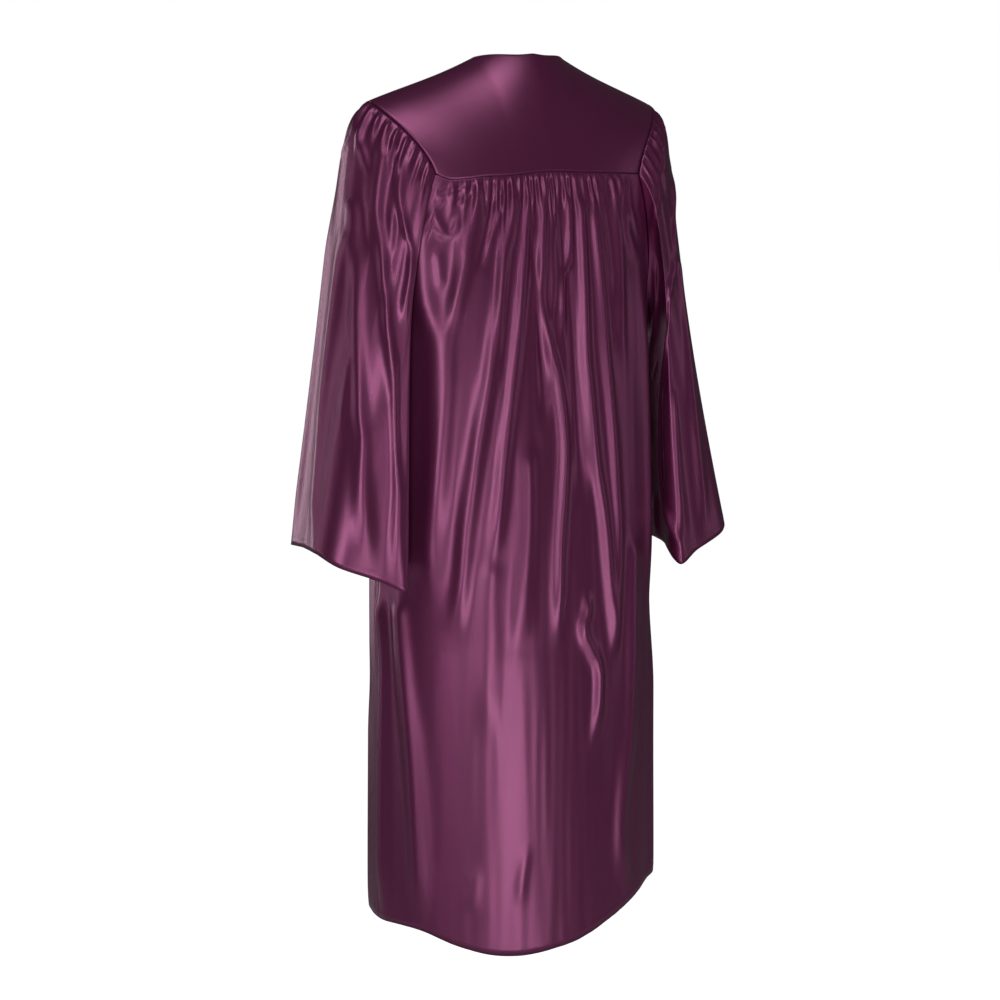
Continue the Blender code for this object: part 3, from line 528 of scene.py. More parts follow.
def on_body(turn, z):
    """Points of the plain body tube, and its level outward normals there."""
    turn, z = np.broadcast_arrays(turn, z)
    half, square = read(BODY, "half_width", z), read(BODY, "square", z)
    deep = np.where(np.cos(turn) > 0, read(BODY, "front", z), read(BODY, "back", z))
    s, c = np.sin(turn), -np.cos(turn)
    radius = (np.abs(s / half) ** square + np.abs(c / deep) ** square) ** (-1 / square)
    x, y = radius * s, radius * c
    out_x = np.sign(x) * np.abs(x / half) ** (square - 1) / half
    out_y = np.sign(y) * np.abs(y / deep) ** (square - 1) / deep
    return np.stack([x, y, z], axis=-1), unit(np.stack([out_x, out_y, 0 * x], axis=-1))


def from_front(turn):
    """The angle from the front centre, on either side."""
    return np.abs((turn + math.pi) % (2 * math.pi) - math.pi)


def back_seam(turn):
    return read(SEAM, "z", np.degrees(turn) % 360, "degrees")


def hem_at(turn):
    return read(HEM, "z", np.degrees(turn) % 360, "degrees")


def top_edge(turn):
    """The height of the body panels' upper edge: the yoke seams and, between them, the armholes."""
    m = from_front(turn)
    behind = np.sin(np.clip((BACK_CORNER - m) / (BACK_CORNER - SIDE_SEAM), 0, 1) * math.pi / 2)
    before = np.sin(np.clip((m - FRONT_CORNER) / (SIDE_SEAM - FRONT_CORNER), 0, 1) * math.pi / 2)
    z_back = np.where(m < BACK_CORNER, CORNER_Z + (UNDERARM_Z - CORNER_Z) * behind, back_seam(turn))
    z_front = FRONT_SEAM_Z + (UNDERARM_Z - FRONT_SEAM_Z) * before
    return np.where(m > SIDE_SEAM, z_back, z_front)


def folds_at(turn, z):
    """How far the folds carry the body's cloth outwards."""
    total = np.zeros(np.broadcast(turn, z).shape)
    for top, top_z, mid, mid_z, foot, foot_z, wide, height in zip(*FOLDS.values()):
        t = (z - top_z) / (foot_z - top_z)
        k = (mid_z - top_z) / (foot_z - top_z)
        bend = (mid - top - (foot - top) * k) / (k * (k - 1))
        centre = np.radians(top + (foot - top) * t + bend * t * (t - 1))
        away = ((turn - centre + math.pi) % (2 * math.pi) - math.pi) * 0.19
        lasts = ease(t / 0.3 + 0.15) * ease((1 - t) / 0.3 + 0.15)
        total = total + height * lasts * np.exp(-((away / wide) ** 2))
    return total


def slot(z):
    """Half the distance between the two front edges."""
    return GAP / 2 + (ZIP_SLOT - GAP / 2) * ease((z - ZIP_END_Z + 0.012) / 0.010)


# %% The yokes' surfaces
NECK_POINT = np.array([NECK_HALF, NECK_SIDE, SHOULDER_DROP / 2])
TIP = np.array([SHOULDER_HALF, 0, -SHOULDER_DROP / 2])


def shoulder_seam(t):
    """From the neck point at 0 to the tip at 1, sagging a little between them."""
    t = np.asarray(t, float)[..., None]
    return NECK_POINT + (TIP - NECK_POINT) * t - np.array([0, 0, 0.005]) * np.sin(math.pi * t) * (1 - t)


def back_neck(t):
    """How far behind the shoulder tips the neck edge lies, from the centre back at 0 to the neck point."""
    return NECK_BACK - (NECK_BACK - NECK_SIDE) * t**2.2


def neck_cut(top, low, leave, arrive, near):
    """How far down each of the back yoke's columns the neck edge cuts it: 0 over the shoulders."""
    first, last = np.zeros(near.shape), np.full(near.shape, 0.6)
    for _ in range(24):
        middle = (first + last) / 2
        inside = hermite(top, low, leave, arrive, middle)[..., 1] < back_neck(near)
        first, last = np.where(inside, middle, first), np.where(inside, last, middle)
    return np.where(near < 1, first, 0.0)


def blunt(near):
    """Nearly near**1.6, but with no crease at the middle of the back."""
    return ((near**2 + 0.02) ** 0.8 - 0.02**0.8) / (1.02**0.8 - 0.02**0.8)


def back_yoke(across, down):
    """across runs from -1 at the right shoulder tip to 1 at the left, and down from 0 to 1."""
    across, down = np.broadcast_arrays(np.asarray(across, float), down)
    side, u = np.where(across < 0, -1.0, 1.0), np.abs(across)
    near = np.clip(u / NECK_SHARE, 0, 1)
    past = np.clip((u - NECK_SHARE) / (1 - NECK_SHARE), 0, 1)
    over = NECK_POINT * np.stack([near, 1 + 0 * near, 1 + 0 * near], axis=-1)
    over = over + np.stack([0 * near, 0.003 * (1 - near), RIDGE_RISE * (1 - blunt(near))], axis=-1)
    top = np.where((u < NECK_SHARE)[..., None], over, shoulder_seam(past))
    turn = math.pi + (BACK_CORNER - math.pi) * u
    seam = back_seam(math.pi + (BACK_CORNER - math.pi) * across)
    low, _ = on_body(turn, seam)
    lower, _ = on_body(turn, seam - 0.01)
    long = np.linalg.norm(low - top, axis=-1, keepdims=True)
    leave = unit(np.array([0.0, 0.93, -0.37])) * long * 0.9
    arrive = unit(unit(lower - low) + u[..., None] ** 3 * np.array([-0.30, 0.10, 0])) * long
    cut = neck_cut(top, low, leave, arrive, near)
    made = hermite(top, low, leave, arrive, cut + (1 - cut) * down)
    return made * np.stack([side, 1 + 0 * side, 1 + 0 * side], axis=-1)


def front_yoke(across, down):
    """The wearer's left front yoke. across runs from 0 at the neckline to 1 at the armhole."""
    top = shoulder_seam(across)
    edge = math.asin(ZIP_SLOT / 0.1)
    low, _ = on_body(edge + (FRONT_CORNER - edge) * across, FRONT_SEAM_Z + 0 * across)
    lower, _ = on_body(edge + (FRONT_CORNER - edge) * across, FRONT_SEAM_Z - 0.01 + 0 * across)
    long = np.linalg.norm(low - top, axis=-1, keepdims=True)
    v = np.asarray(across, float)[..., None]
    leave = unit(np.array([-0.10, -0.93, -0.34]) + v * np.array([0.10, 0.0, 0.04]))
    arrive = unit(unit(lower - low) + (1 - v) * np.array([-0.28, 0, 0]) + v * np.array([-0.30, -0.10, 0]))
    return hermite(top, low, leave * long * 0.9, arrive * long, down)


# %% The armhole and the sleeve's surface


YOKE_STEPS = 60


def armhole():
    """The wearer's left armhole from the shoulder tip, down the back and up the front to the tip."""
    yoke = np.linspace(0, 1, YOKE_STEPS)
    behind, before = np.linspace(BACK_CORNER, SIDE_SEAM, 90), np.linspace(SIDE_SEAM, FRONT_CORNER, 90)
    parts = [
        back_yoke(1 + 0 * yoke, yoke)[:-1],
        on_body(behind, top_edge(behind))[0][:-1],
        on_body(before, top_edge(before))[0][:-1],
        front_yoke(1 + 0 * yoke, yoke)[::-1],
    ]
    return np.concatenate(parts)


ARMHOLE = armhole()
ARM_WAY = way_along(ARMHOLE)
ARM_LENGTH = ARM_WAY[-1]
CAP_END = ARM_WAY[YOKE_STEPS - 1] / ARM_LENGTH  # share of the armhole at which the back yoke ends
print("armhole", round(ARM_LENGTH, 3), "m, cap ends at", round(CAP_END, 3))


def plain_sleeve(share, down):
    """A left sleeve with no folds. share runs round the armhole, and down from it to the hem."""
    share = share % 1.0
    start = np.stack([np.interp(share * ARM_LENGTH, ARM_WAY, ARMHOLE[:, k]) for k in range(3)], axis=-1)
    hem = np.stack([read(SLEEVE, "hem_" + k, share, "share") for k in "xyz"], axis=-1)
    swell = np.stack([read(SLEEVE, "swell_" + k, share, "share") for k in "xyz"], axis=-1)
    rise, fall = read(SLEEVE, "rise", share, "share"), read(SLEEVE, "fall", share, "share")
    return start + (hem - start) * down[..., None] + swell * hump(down, rise, fall)[..., None]


# %% [markdown]
# ## Gathers, creases and the set of the cloth
#
# A gathered seam packs wide cloth onto a short edge. Right under the stitches each gather is narrow and
# crisp. Further down, neighbours run together and fewer, wider folds go on. The CAD walls have one wave
# for each gather. Here each gather also wanders, splits and ends at its own height.

# %% Gathers
PUCKER_DEPTH = 0.0007  # of the small puckers right at the stitches
MERGED_DEPTH = 0.0006  # of the wide folds into which the gathers run


def gather_reach(index):
    """How far below its stitches each gather lasts."""
    return 0.048 + 0.026 * np.sin(index * 2.4) * np.cos(index * 0.9 + 0.6)


def gathers_at(share, count, below, flat=0.0):
    """How far a seam's gathers stand out.

    share is the way along the seam, below the way under it, and flat the number of gathers left out at
    the seam's start.
    """
    wander = 0.16 * np.sin(share * count * 0.83 + 1.0) * ease(below / 0.09)
    phase = share * count + wander
    index = np.round(phase)
    uneven = 0.75 + 0.25 * np.sin(index * 1.9 + 0.7)
    ends = ease((share * count - flat) / 1.5) * ease((1 - share) * count / 1.5)
    full = ease(below / GATHER_START)
    lasts = 1 - ease((below - 0.02) / gather_reach(share * count))
    crest = np.cos(2 * math.pi * phase) + 0.22 * np.cos(4 * math.pi * phase + 0.6)
    narrow = GATHER_DEPTH * 0.92 * crest * uneven * full * lasts
    pucker = PUCKER_DEPTH * np.cos(6 * math.pi * phase + 1.3 * np.sin(index))
    pucker = pucker * ease(below / 0.003) * (1 - ease(below / 0.022))
    merged = np.cos(math.pi * phase + 0.9 * np.sin(0.37 * index)) * ease((below - 0.03) / 0.06)
    merged = merged * (1 - ease((below - 0.13 - 0.05 * np.sin(index * 1.3)) / 0.16)) * MERGED_DEPTH
    return (narrow + pucker + merged) * ends


# %% Small unevenness of hanging satin


RIPPLES = 14
RIPPLE_HEIGHT = 0.0003


def unevenness(u, v, seed):
    """Long shallow ripples that run down the cloth. u and v are in metres."""
    draw = np.random.default_rng(seed)
    total = np.zeros(np.broadcast(u, v).shape)
    for _ in range(RIPPLES):
        across = draw.uniform(14, 60)
        along = draw.uniform(-3.0, 3.0)
        shift, slow, drift = draw.uniform(0, 2 * math.pi, 3)
        size = RIPPLE_HEIGHT * (14 / across) ** 1.6
        fades = 0.55 + 0.45 * np.sin(2 * math.pi * v * draw.uniform(0.8, 2.2) + slow + 5 * u)
        bend = shift + 0.6 * np.sin(7 * v + drift)
        total = total + size * fades * np.sin(2 * math.pi * (u * across + v * along) + bend)
    return total


# %% The cloth with all its folds


def body_cloth(turn, z, gathers, seed):
    """The body's cloth with its folds, which lie flat at every seam and beside the zip."""
    point, out = on_body(turn, z)
    below = top_edge(turn) - z
    beside_zip = ease((from_front(turn) - 0.135) / 0.12)
    flat = ease(below / 0.05) * beside_zip
    flutter = unevenness(turn * 0.2, z, seed) * flat
    ridges = ridges_at(BACK_RIDGES, np.degrees(turn), z, math.radians(0.2), 1.0) * ease(below / 0.012)
    return point + out * (folds_at(turn, z) * flat + flutter + ridges + gathers)[..., None]


def sleeve_cloth(share, down, side):
    """A sleeve's cloth with its folds and gathers. The two sides differ in where their folds lie."""
    share, down = np.broadcast_arrays(share, down)
    point = plain_sleeve(share, down)
    low, high = np.clip(down - 0.01, 0, 1), np.clip(down + 0.01, 0, 1)
    along = plain_sleeve(share, high) - plain_sleeve(share, low)
    around = plain_sleeve(share + 0.012, down) - plain_sleeve(share - 0.012, down)
    out = unit(np.cross(along, around))
    total = np.zeros(share.shape)
    for top, foot, start, end, wide, height in zip(*SLEEVE_FOLDS.values()):
        shift = 0.0 if side > 0 else 0.012 * math.sin(40 * top)
        centre = top + (foot - top) * down + shift
        away = (share - centre + 0.5) % 1.0 - 0.5
        lasts = ease((down - start) / 0.18) * ease((end - down) / 0.25)
        total = total + height * lasts * np.exp(-((away / wide) ** 2))
    cap = ((share + 0.5) % 1.0 - 0.5 + CAP_END) / (2 * CAP_END)
    below = down * SLEEVE_LONG
    ridges = LEFT_SLEEVE_RIDGES if side > 0 else RIGHT_SLEEVE_RIDGES
    total = total + ridges_at(ridges, (share + 0.4) % 1.0 - 0.4, down, 0.6, SLEEVE_LONG) * ease(below / 0.01)
    total = total + np.where((cap > 0) & (cap < 1), gathers_at(np.clip(cap, 0, 1), CAP_GATHERS, below), 0)
    return point + out * total[..., None]


# %% [markdown]
# ## From a grid of points to a cloth piece
#
# Every cut piece is one grid: rows down the cloth, and columns across it. Its edges are turned in, as
# a sewn edge is, by adding a few rows that fold back inside. Each point also keeps its place on the flat
# cut, in metres, as a UV map named cut, so that the weave follows the cloth. Solidify then gives the
# sheet its two sides: the shiny face and the dull back.

# %% Turned edges
SHELL = 0.0005  # thickness of the satin
EDGE_TURN = ((0.0003, 0.0), (0.0009, 0.0), (0.0020, 0.0), (0.0045, 0.0))  # (inwards, back) from the edge
SEAM_TURN = ((0.0003, 0.0), (0.0009, -0.0002), (0.0020, -0.0007), (0.0045, -0.0010))  # leans on its neighbour
HEM_TURN = ((0.0004, 0.0002), (0.0009, 0.0010), (0.0011, 0.0040), (0.0011, 0.0120))


def outward(points, closed):
    """Normals of a grid that is seen from outside with its columns running to the right."""
    if closed:
        wide = np.concatenate([points[:, -1:], points, points[:, :1]], axis=1)
        right = (wide[:, 2:] - wide[:, :-2]) / 2
    else:
        right = np.gradient(points, axis=1)
    down = np.gradient(points, axis=0)
    return unit(np.cross(down, right))


def turn_in(points, cut, steps, closed=False, folded=(0, 0)):
    """Adds rows that fold the last edge inwards. steps are (inwards, back up the cloth) in metres.

    folded counts the columns at the left and right that are turned in already: those fold the way
    their neighbours do.
    """
    out = outward(points[-3:], closed)[-1]
    if folded[0]:
        out[: folded[0] + 1] = out[folded[0] + 1]
    if folded[1]:
        out[-folded[1] - 1 :] = out[-folded[1] - 2]
    back = unit(points[-2] - points[-1])
    new = [points[-1] - out * depth + back * way for depth, way in steps]
    way = [s[0] + s[1] for s in steps]
    flat = unit(cut[-1] - cut[-2])
    new_cut = [cut[-1] + flat * w for w in way]
    return np.concatenate([points, np.stack(new)]), np.concatenate([cut, np.stack(new_cut)])


def turn_edges(points, cut, top=(), foot=(), left=(), right=(), closed=False):
    """Turns in any of a grid's four edges, the sides first."""
    for steps, quarter in ((right, 1), (left, -1)):
        if steps:
            points, cut = np.rot90(points, -quarter), np.rot90(cut, -quarter)
            points, cut = turn_in(points, cut, steps)
            points, cut = np.rot90(points, quarter), np.rot90(cut, quarter)
    if foot:
        points, cut = turn_in(points, cut, foot, closed, (len(left), len(right)))
    if top:
        points, cut = turn_in(points[::-1, ::-1], cut[::-1, ::-1], top, closed, (len(right), len(left)))
        points, cut = points[::-1, ::-1], cut[::-1, ::-1]
    return points, cut


# %% Grid to mesh


def make_cloth(name, points, cut, looks, closed=False, thick=SHELL):
    """A cloth piece from a grid of points and their places on the flat cut, solidified to its wall."""
    rows, columns = points.shape[:2]
    mesh = bpy.data.meshes.new(name)
    index = np.arange(rows * columns).reshape(rows, columns)
    if closed:
        index = np.concatenate([index, index[:, :1]], axis=1)
        step = cut[:, -1:] - cut[:, -2:-1]
        cut = np.concatenate([cut, cut[:, -1:] + step], axis=1)
    corners = [index[:-1, :-1], index[1:, :-1], index[1:, 1:], index[:-1, 1:]]
    faces = np.stack(corners, axis=-1).reshape(-1, 4)
    flat = np.stack([cut[:-1, :-1], cut[1:, :-1], cut[1:, 1:], cut[:-1, 1:]], axis=2).reshape(-1, 2)
    mesh.from_pydata(points.reshape(-1, 3), [], faces.tolist())
    layer = mesh.uv_layers.new(name="cut")
    layer.data.foreach_set("uv", flat.astype(np.float32).ravel())
    mesh.polygons.foreach_set("use_smooth", np.ones(len(faces), bool))
    for look in looks:
        mesh.materials.append(look)
    obj = put(name, mesh)
    wall = obj.modifiers.new("wall", "SOLIDIFY")
    wall.thickness = thick
    wall.offset = 0
    wall.material_offset = len(looks) - 1
    area = sum(p.area for p in mesh.polygons)
    print(name, len(faces), "faces,", round(area, 4), "square metres")
    return obj


def from_outside(points, cut, side):
    """A grid whose columns run to the right as seen from outside, on either side of the wearer."""
    return (points, cut) if side > 0 else (points[:, ::-1], cut[:, ::-1])


def stand_in(piece, node):
    """Lets a piece ride on the gown's body in place of a CAD node."""
    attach(piece, "gown")
    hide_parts(node)


# %% [markdown]
# ## Satin
#
# Satin is woven so that long threads float on its face. They lie side by side and shine like a brushed
# metal: the highlight takes the cloth's own colour, and is broad and soft. The threads vary a little in
# thickness, which breaks the highlight into a fine grain. Metallic at about two thirds, with a tinted base
# and a thin, soft coat, gives that sheen. The back of the cloth is duller. A group makes the threads, so
# that the face, the back and the tapes can share it.

# %% Thread group


def thread_group():
    """A shader node group: woven threads with uneven thickness, from the flat cut's own coordinates."""
    group = bpy.data.node_groups.new("woven_threads", "ShaderNodeTree")
    face = group.interface
    inputs = (
        ("Threads per metre", 2500.0),
        ("Slub length", 0.012),
        ("Weave depth", 0.3),
        ("Grain depth", 0.5),
        ("Shade change", 0.1),
        ("Roughness", 0.35),
        ("Roughness change", 0.08),
    )
    face.new_socket(name="Colour", in_out="INPUT", socket_type="NodeSocketColor")
    for name, value in inputs:
        face.new_socket(name=name, in_out="INPUT", socket_type="NodeSocketFloat").default_value = value
    face.new_socket(name="Colour", in_out="OUTPUT", socket_type="NodeSocketColor")
    face.new_socket(name="Roughness", in_out="OUTPUT", socket_type="NodeSocketFloat")
    face.new_socket(name="Height", in_out="OUTPUT", socket_type="NodeSocketFloat")
    given = add_node(group, "NodeGroupInput").outputs

    def step(kind, *values):
        return maths(group, kind, *values)

    def patches(u_scale, along, detail):
        return noise(group, vector(group, step("MULTIPLY", u, u_scale), along), 1.0, detail)

    place = add_node(group, "ShaderNodeUVMap", uv_map="cut").outputs[0]
    u, v, _ = add_node(group, "ShaderNodeSeparateXYZ", {0: place}).outputs
    turns = step("MULTIPLY", given["Threads per metre"], 2 * math.pi)
    warp, weft = (step("SINE", step("MULTIPLY", way, turns)) for way in (u, v))
    weave = step("MULTIPLY", step("MULTIPLY", warp, weft), given["Weave depth"])
    streak = patches(1300.0, step("DIVIDE", v, given["Slub length"]), 3.0)  # thick and thin threads
    broad = patches(26.0, step("MULTIPLY", v, 7.0), 2.0)  # slow change over the cloth
    mottle = patches(420.0, step("MULTIPLY", v, 260.0), 3.0)  # small patches, as in pressed cloth
    grain = step("MULTIPLY", step("ADD", streak, step("MULTIPLY", mottle, 1.6)), given["Grain depth"])
    height = step("ADD", weave, grain)
    shades = step("ADD", step("ADD", streak, broad), step("MULTIPLY", mottle, 1.5))
    mean_shade = 1.75
    change = step("MULTIPLY", step("SUBTRACT", shades, mean_shade), given["Shade change"])
    tinted = add_node(group, "ShaderNodeHueSaturation", {"Value": step("ADD", change, 1.0), "Color": given["Colour"]})
    rougher = step("MULTIPLY", step("SUBTRACT", streak, 0.5), given["Roughness change"])
    rough = step("ADD", given["Roughness"], rougher)
    add_node(group, "NodeGroupOutput", {"Colour": tinted.outputs[0], "Roughness": rough, "Height": height})
    return group


THREADS = thread_group()


def finish(tree, inputs):
    """Sets or links the inputs of a material's own shader."""
    shader = tree.nodes["Principled BSDF"]
    for name, value in inputs.items():
        if isinstance(value, bpy.types.NodeSocket):
            tree.links.new(value, shader.inputs[name])
        else:
            shader.inputs[name].default_value = value


def woven(name, colour, metallic, bump, **values):
    """A woven material. The names of values are the thread group's inputs, with _ for a space."""
    made = bpy.data.materials.new(name)
    made.use_nodes = True
    tree = made.node_tree
    threads = add_node(tree, "ShaderNodeGroup", node_tree=THREADS)
    threads.inputs["Colour"].default_value = (*colour, 1)
    for key, value in values.items():
        threads.inputs[key.replace("_", " ")].default_value = value
    raised = add_node(tree, "ShaderNodeBump", {"Strength": 1.0, "Distance": bump, "Height": threads.outputs["Height"]})
    finish(
        tree,
        {
            "Metallic": metallic,
            "Specular IOR Level": 0.45,
            "Coat IOR": 2.0,
            "Coat Weight": 0.24 if metallic > 0.3 else 0.0,
            "Coat Roughness": 0.38,
            "Base Color": threads.outputs["Colour"],
            "Roughness": threads.outputs["Roughness"],
            "Normal": raised.outputs[0],
        },
    )
    return made


PLUM = (0.215, 0.027, 0.118)
satin = woven("satin_face", PLUM, 0.65, 0.00004, Roughness=0.33)
satin_back = woven("satin_back", (0.10, 0.022, 0.060), 0.15, 0.00005, Roughness=0.6)
SATIN_SIDES = (satin, satin_back)

# %% [markdown]
# ## The back panel
#
# The widest piece. It is gathered along the yoke's seam and hangs free to its hem, with the armholes
# cut into its upper corners. Rows lie close together under the seam, where the gathers are fine.

# %% Rows and columns
COLUMNS_A_GATHER = 8


def spread_rows(near, mid, far, first=0.02, second=0.15):
    """Shares of the way down: near rows to the first share, mid rows to the second, far rows below."""
    parts = [np.linspace(0, first, near), np.linspace(first, second, mid)[1:], np.linspace(second, 1, far)[1:]]
    return np.concatenate(parts)


def uneven_share(gathers):
    """Even shares of a seam, with a few columns for each gather, and the same a little displaced."""
    share = np.linspace(0, 1, gathers * COLUMNS_A_GATHER + 1)
    return share, share + 0.006 * np.sin(2 * math.pi * 3 * share) + 0.004 * np.sin(2 * math.pi * 7 * share)


ARMHOLE_COLUMNS = np.array([0, 0.13, 0.26, 0.36, 0.47, 0.60, 0.73, 0.87, 1.0])
UNDER_ARM = np.interp(np.linspace(0, 8, 25), np.arange(9), ARMHOLE_COLUMNS)
PANEL_ROWS = spread_rows(14, 48, 100)

# %% Back panel


def back_panel():
    """The back panel's grid of points and its places on the flat cut."""
    share, uneven = uneven_share(BACK_GATHERS)
    turn = BACK_CORNER + (2 * math.pi - 2 * BACK_CORNER) * uneven
    side = BACK_CORNER + (SIDE_SEAM + SIDE_PULL - BACK_CORNER) * UNDER_ARM[:0:-1]
    turn = np.concatenate([side, turn, 2 * math.pi - side[::-1]])[None, :]
    share = np.concatenate([0 * side, share, 1 + 0 * side])[None, :]
    top = top_edge(turn) - SEAM_CLEAR
    z = top + (hem_at(turn) - top) * PANEL_ROWS[:, None]
    points = body_cloth(turn, z, gathers_at(share, BACK_GATHERS, top - z), seed=3)
    return points, np.stack([turn * BODY_RADIUS + 0 * z, z], axis=-1)


back_grid = back_panel()
back_edges = turn_edges(*back_grid, top=SEAM_TURN, foot=HEM_TURN, left=SEAM_TURN, right=SEAM_TURN)
back = make_cloth("back_cloth", *back_edges, SATIN_SIDES)
stand_in(back, "back_panel")

# %% [markdown]
# ## The two front panels
#
# Each is gathered onto its front yoke and meets the other at the zip. The cloth lies flat beside the
# zip, because the tape holds it.

# %% Front panels


def front_turns(z, share, side_turns):
    """A front panel's angles at each height, from the front edge to the side seam."""
    edge = np.arcsin(np.clip((slot(z) + GAP) / read(BODY, "front", z), 0, 0.2))
    seam = edge + (FRONT_CORNER - edge) * share
    return np.where(np.isnan(side_turns), seam, side_turns)


def front_panel(side):
    """A front panel's grid and flat cut. Its hem follows its own side of the body, as the back's does."""
    share, _ = uneven_share(FRONT_GATHERS)
    under = FRONT_CORNER + (SIDE_SEAM - SIDE_PULL - FRONT_CORNER) * UNDER_ARM[1:]
    fixed = np.concatenate([np.full(len(share), np.nan), under])[None, :]
    share = np.concatenate([share, 1 + 0 * under])[None, :]
    turn = front_turns(np.full(share.shape, FRONT_SEAM_Z), share, fixed) + 0 * PANEL_ROWS[:, None]
    for _ in range(3):
        top = top_edge(turn) - SEAM_CLEAR
        z = top + (hem_at(turn if side > 0 else 2 * math.pi - turn) - top) * PANEL_ROWS[:, None]
        turn = front_turns(z, share, fixed)
    wave = gathers_at(share, FRONT_GATHERS, top - z, 1.1)
    points = body_cloth(turn if side > 0 else 2 * math.pi - turn, z, wave, seed=5 if side > 0 else 8)
    return from_outside(points, np.stack([side * turn * BODY_RADIUS, z], axis=-1), side)


fronts, front_grids = {}, {}
for name, side in (("left", 1), ("right", -1)):
    front_grids[name] = front_panel(side)
    sides = {"left": EDGE_TURN, "right": SEAM_TURN} if side > 0 else {"left": SEAM_TURN, "right": EDGE_TURN}
    edges = turn_edges(*front_grids[name], top=SEAM_TURN, foot=HEM_TURN, **sides)
    fronts[name] = make_cloth(f"front_cloth_{name}", *edges, SATIN_SIDES)
    stand_in(fronts[name], f"front_{name}")

# %% [markdown]
# ## The yokes
#
# The yokes are the only smooth, fitted pieces. All the gathered cloth hangs from them, and they show
# the satin's sheen with no folds in the way.

# %% Yokes
YOKE_DOWN = np.linspace(0.006, 1 - 2 * SEAM_CLEAR / YOKE_DEEP, 56)[:, None]


def yoke_back():
    across = np.linspace(1, -1, 121)[None, :] + 0 * YOKE_DOWN
    points = back_yoke(across, YOKE_DOWN + 0 * across)
    return points, np.stack([-across * SHOULDER_HALF, -YOKE_DOWN * YOKE_DEEP + 0 * across], axis=-1)


def yoke_front(side):
    across = np.linspace(0, 1, 61)[None, :] + 0 * YOKE_DOWN
    points = front_yoke(across, YOKE_DOWN + 0 * across) * np.array([side, 1, 1])
    cut = np.stack([side * across * FRONT_YOKE_WIDE, -YOKE_DOWN * YOKE_DEEP + 0 * across], axis=-1)
    return from_outside(points, cut, side)


yoke_grids = {"yoke_back": yoke_back(), "yoke_front_left": yoke_front(1), "yoke_front_right": yoke_front(-1)}
armhole_sides = {"yoke_back": ("left", "right"), "yoke_front_left": ("right",), "yoke_front_right": ("left",)}
for node, grid in yoke_grids.items():
    edges = turn_edges(*grid, top=SEAM_TURN, foot=SEAM_TURN, **{s: SEAM_TURN for s in armhole_sides[node]})
    piece = make_cloth(node.replace("yoke", "yoke_cloth"), *edges, SATIN_SIDES)
    stand_in(piece, node)

# %% [markdown]
# ## The sleeves
#
# Each sleeve is a wide tube, sewn to itself under the arm. Its cap is gathered onto the upper part of
# the armhole, and the rest is sewn in flat.

# %% Sleeves


def sleeve(side):
    """A sleeve's grid, all round from the cap's back end, and its flat cut."""
    cap = np.linspace(-CAP_END, CAP_END, CAP_GATHERS * COLUMNS_A_GATHER + 1)
    under = np.linspace(CAP_END, 1 - CAP_END, 81)[1:-1]
    share = np.concatenate([cap, under])[None, :]
    trim = (SLEEVE_TRIM + 0.0002) / SLEEVE_LONG
    down = (trim + (1 - trim) * spread_rows(14, 40, 64, 0.04, 0.24))[:, None]
    points = sleeve_cloth(share + 0 * down, down + 0 * share, side) * np.array([side, 1, 1])
    cut = np.stack([side * share * ARM_LENGTH + 0 * down, -down * SLEEVE_LONG + 0 * share], axis=-1)
    return from_outside(points, cut, side)


sleeves, sleeve_grids = {}, {}
for name, side in (("left", 1), ("right", -1)):
    sleeve_grids[name] = sleeve(side)
    edges = turn_edges(*sleeve_grids[name], top=SEAM_TURN, foot=HEM_TURN, closed=True)
    sleeves[name] = make_cloth(f"sleeve_cloth_{name}", *edges, SATIN_SIDES, closed=True)
    stand_in(sleeves[name], f"sleeve_{name}")

# %% [markdown]
# ## The zip
#
# A coil zip is sewn behind the two front edges. Its teeth are one long nylon thread wound into a coil
# on each tape. Closed, the loops of the two sides lie between each other. The loops are all alike, so
# Geometry Nodes set them along the zip's line. The tree asks for its sizes by name, turns every other
# loop to the other side, and ends in real mesh, because the export keeps no instances.

# %% The zip's line and tapes
ZIP_TOP_Z = FRONT_SEAM_Z - GAP / 2
ZIP_FOOT_Z = ZIP_END_Z - 0.004
TAPE_WIDTH = 0.012
TAPE_THICK = 0.0007
TAPE_BEHIND = 0.0014  # from the cloth's middle back to the tape's


def zip_line(first, last, count):
    """Heights down the zip, and the y of the front's middle at each."""
    z = np.linspace(first, last, count)
    return z, -read(BODY, "front", z)


def tape(side):
    """A tape's grid and flat cut. Fine ribs run down it, and it narrows where the slider holds it."""
    z, y = zip_line(ZIP_TOP_Z - 0.003, ZIP_FOOT_Z, 130)
    inner = 0.0003 + 0.0016 * ease((z - ZIP_TOP_Z + 0.014) / 0.004)
    share = np.linspace(0, 1, 9)[None, :]
    x = inner[:, None] + (TAPE_WIDTH - inner[:, None]) * share
    level = on_body(np.arcsin(TAPE_WIDTH / -y), z)[0][:, 1] + TAPE_BEHIND
    ribs = 0.00008 * np.cos(2 * math.pi * 4 * share)
    points = np.stack([side * x, level[:, None] + ribs + 0 * x, z[:, None] + 0 * x], axis=-1)
    return from_outside(points, np.stack([side * x, z[:, None] + 0 * x], axis=-1), side)


coarse = {"Threads_per_metre": 1100.0, "Weave_depth": 0.8, "Roughness": 0.7}
tape_weave = woven("tape_weave", (0.15, 0.028, 0.082), 0.0, 0.00012, **coarse)
tapes = {}
for name, side in (("left", 1), ("right", -1)):
    tapes[name] = make_cloth(f"tape_{name}", *tape(side), (tape_weave,), thick=TAPE_THICK)
    stand_in(tapes[name], f"zip_tape_{name}")

# %% Nylon and metal


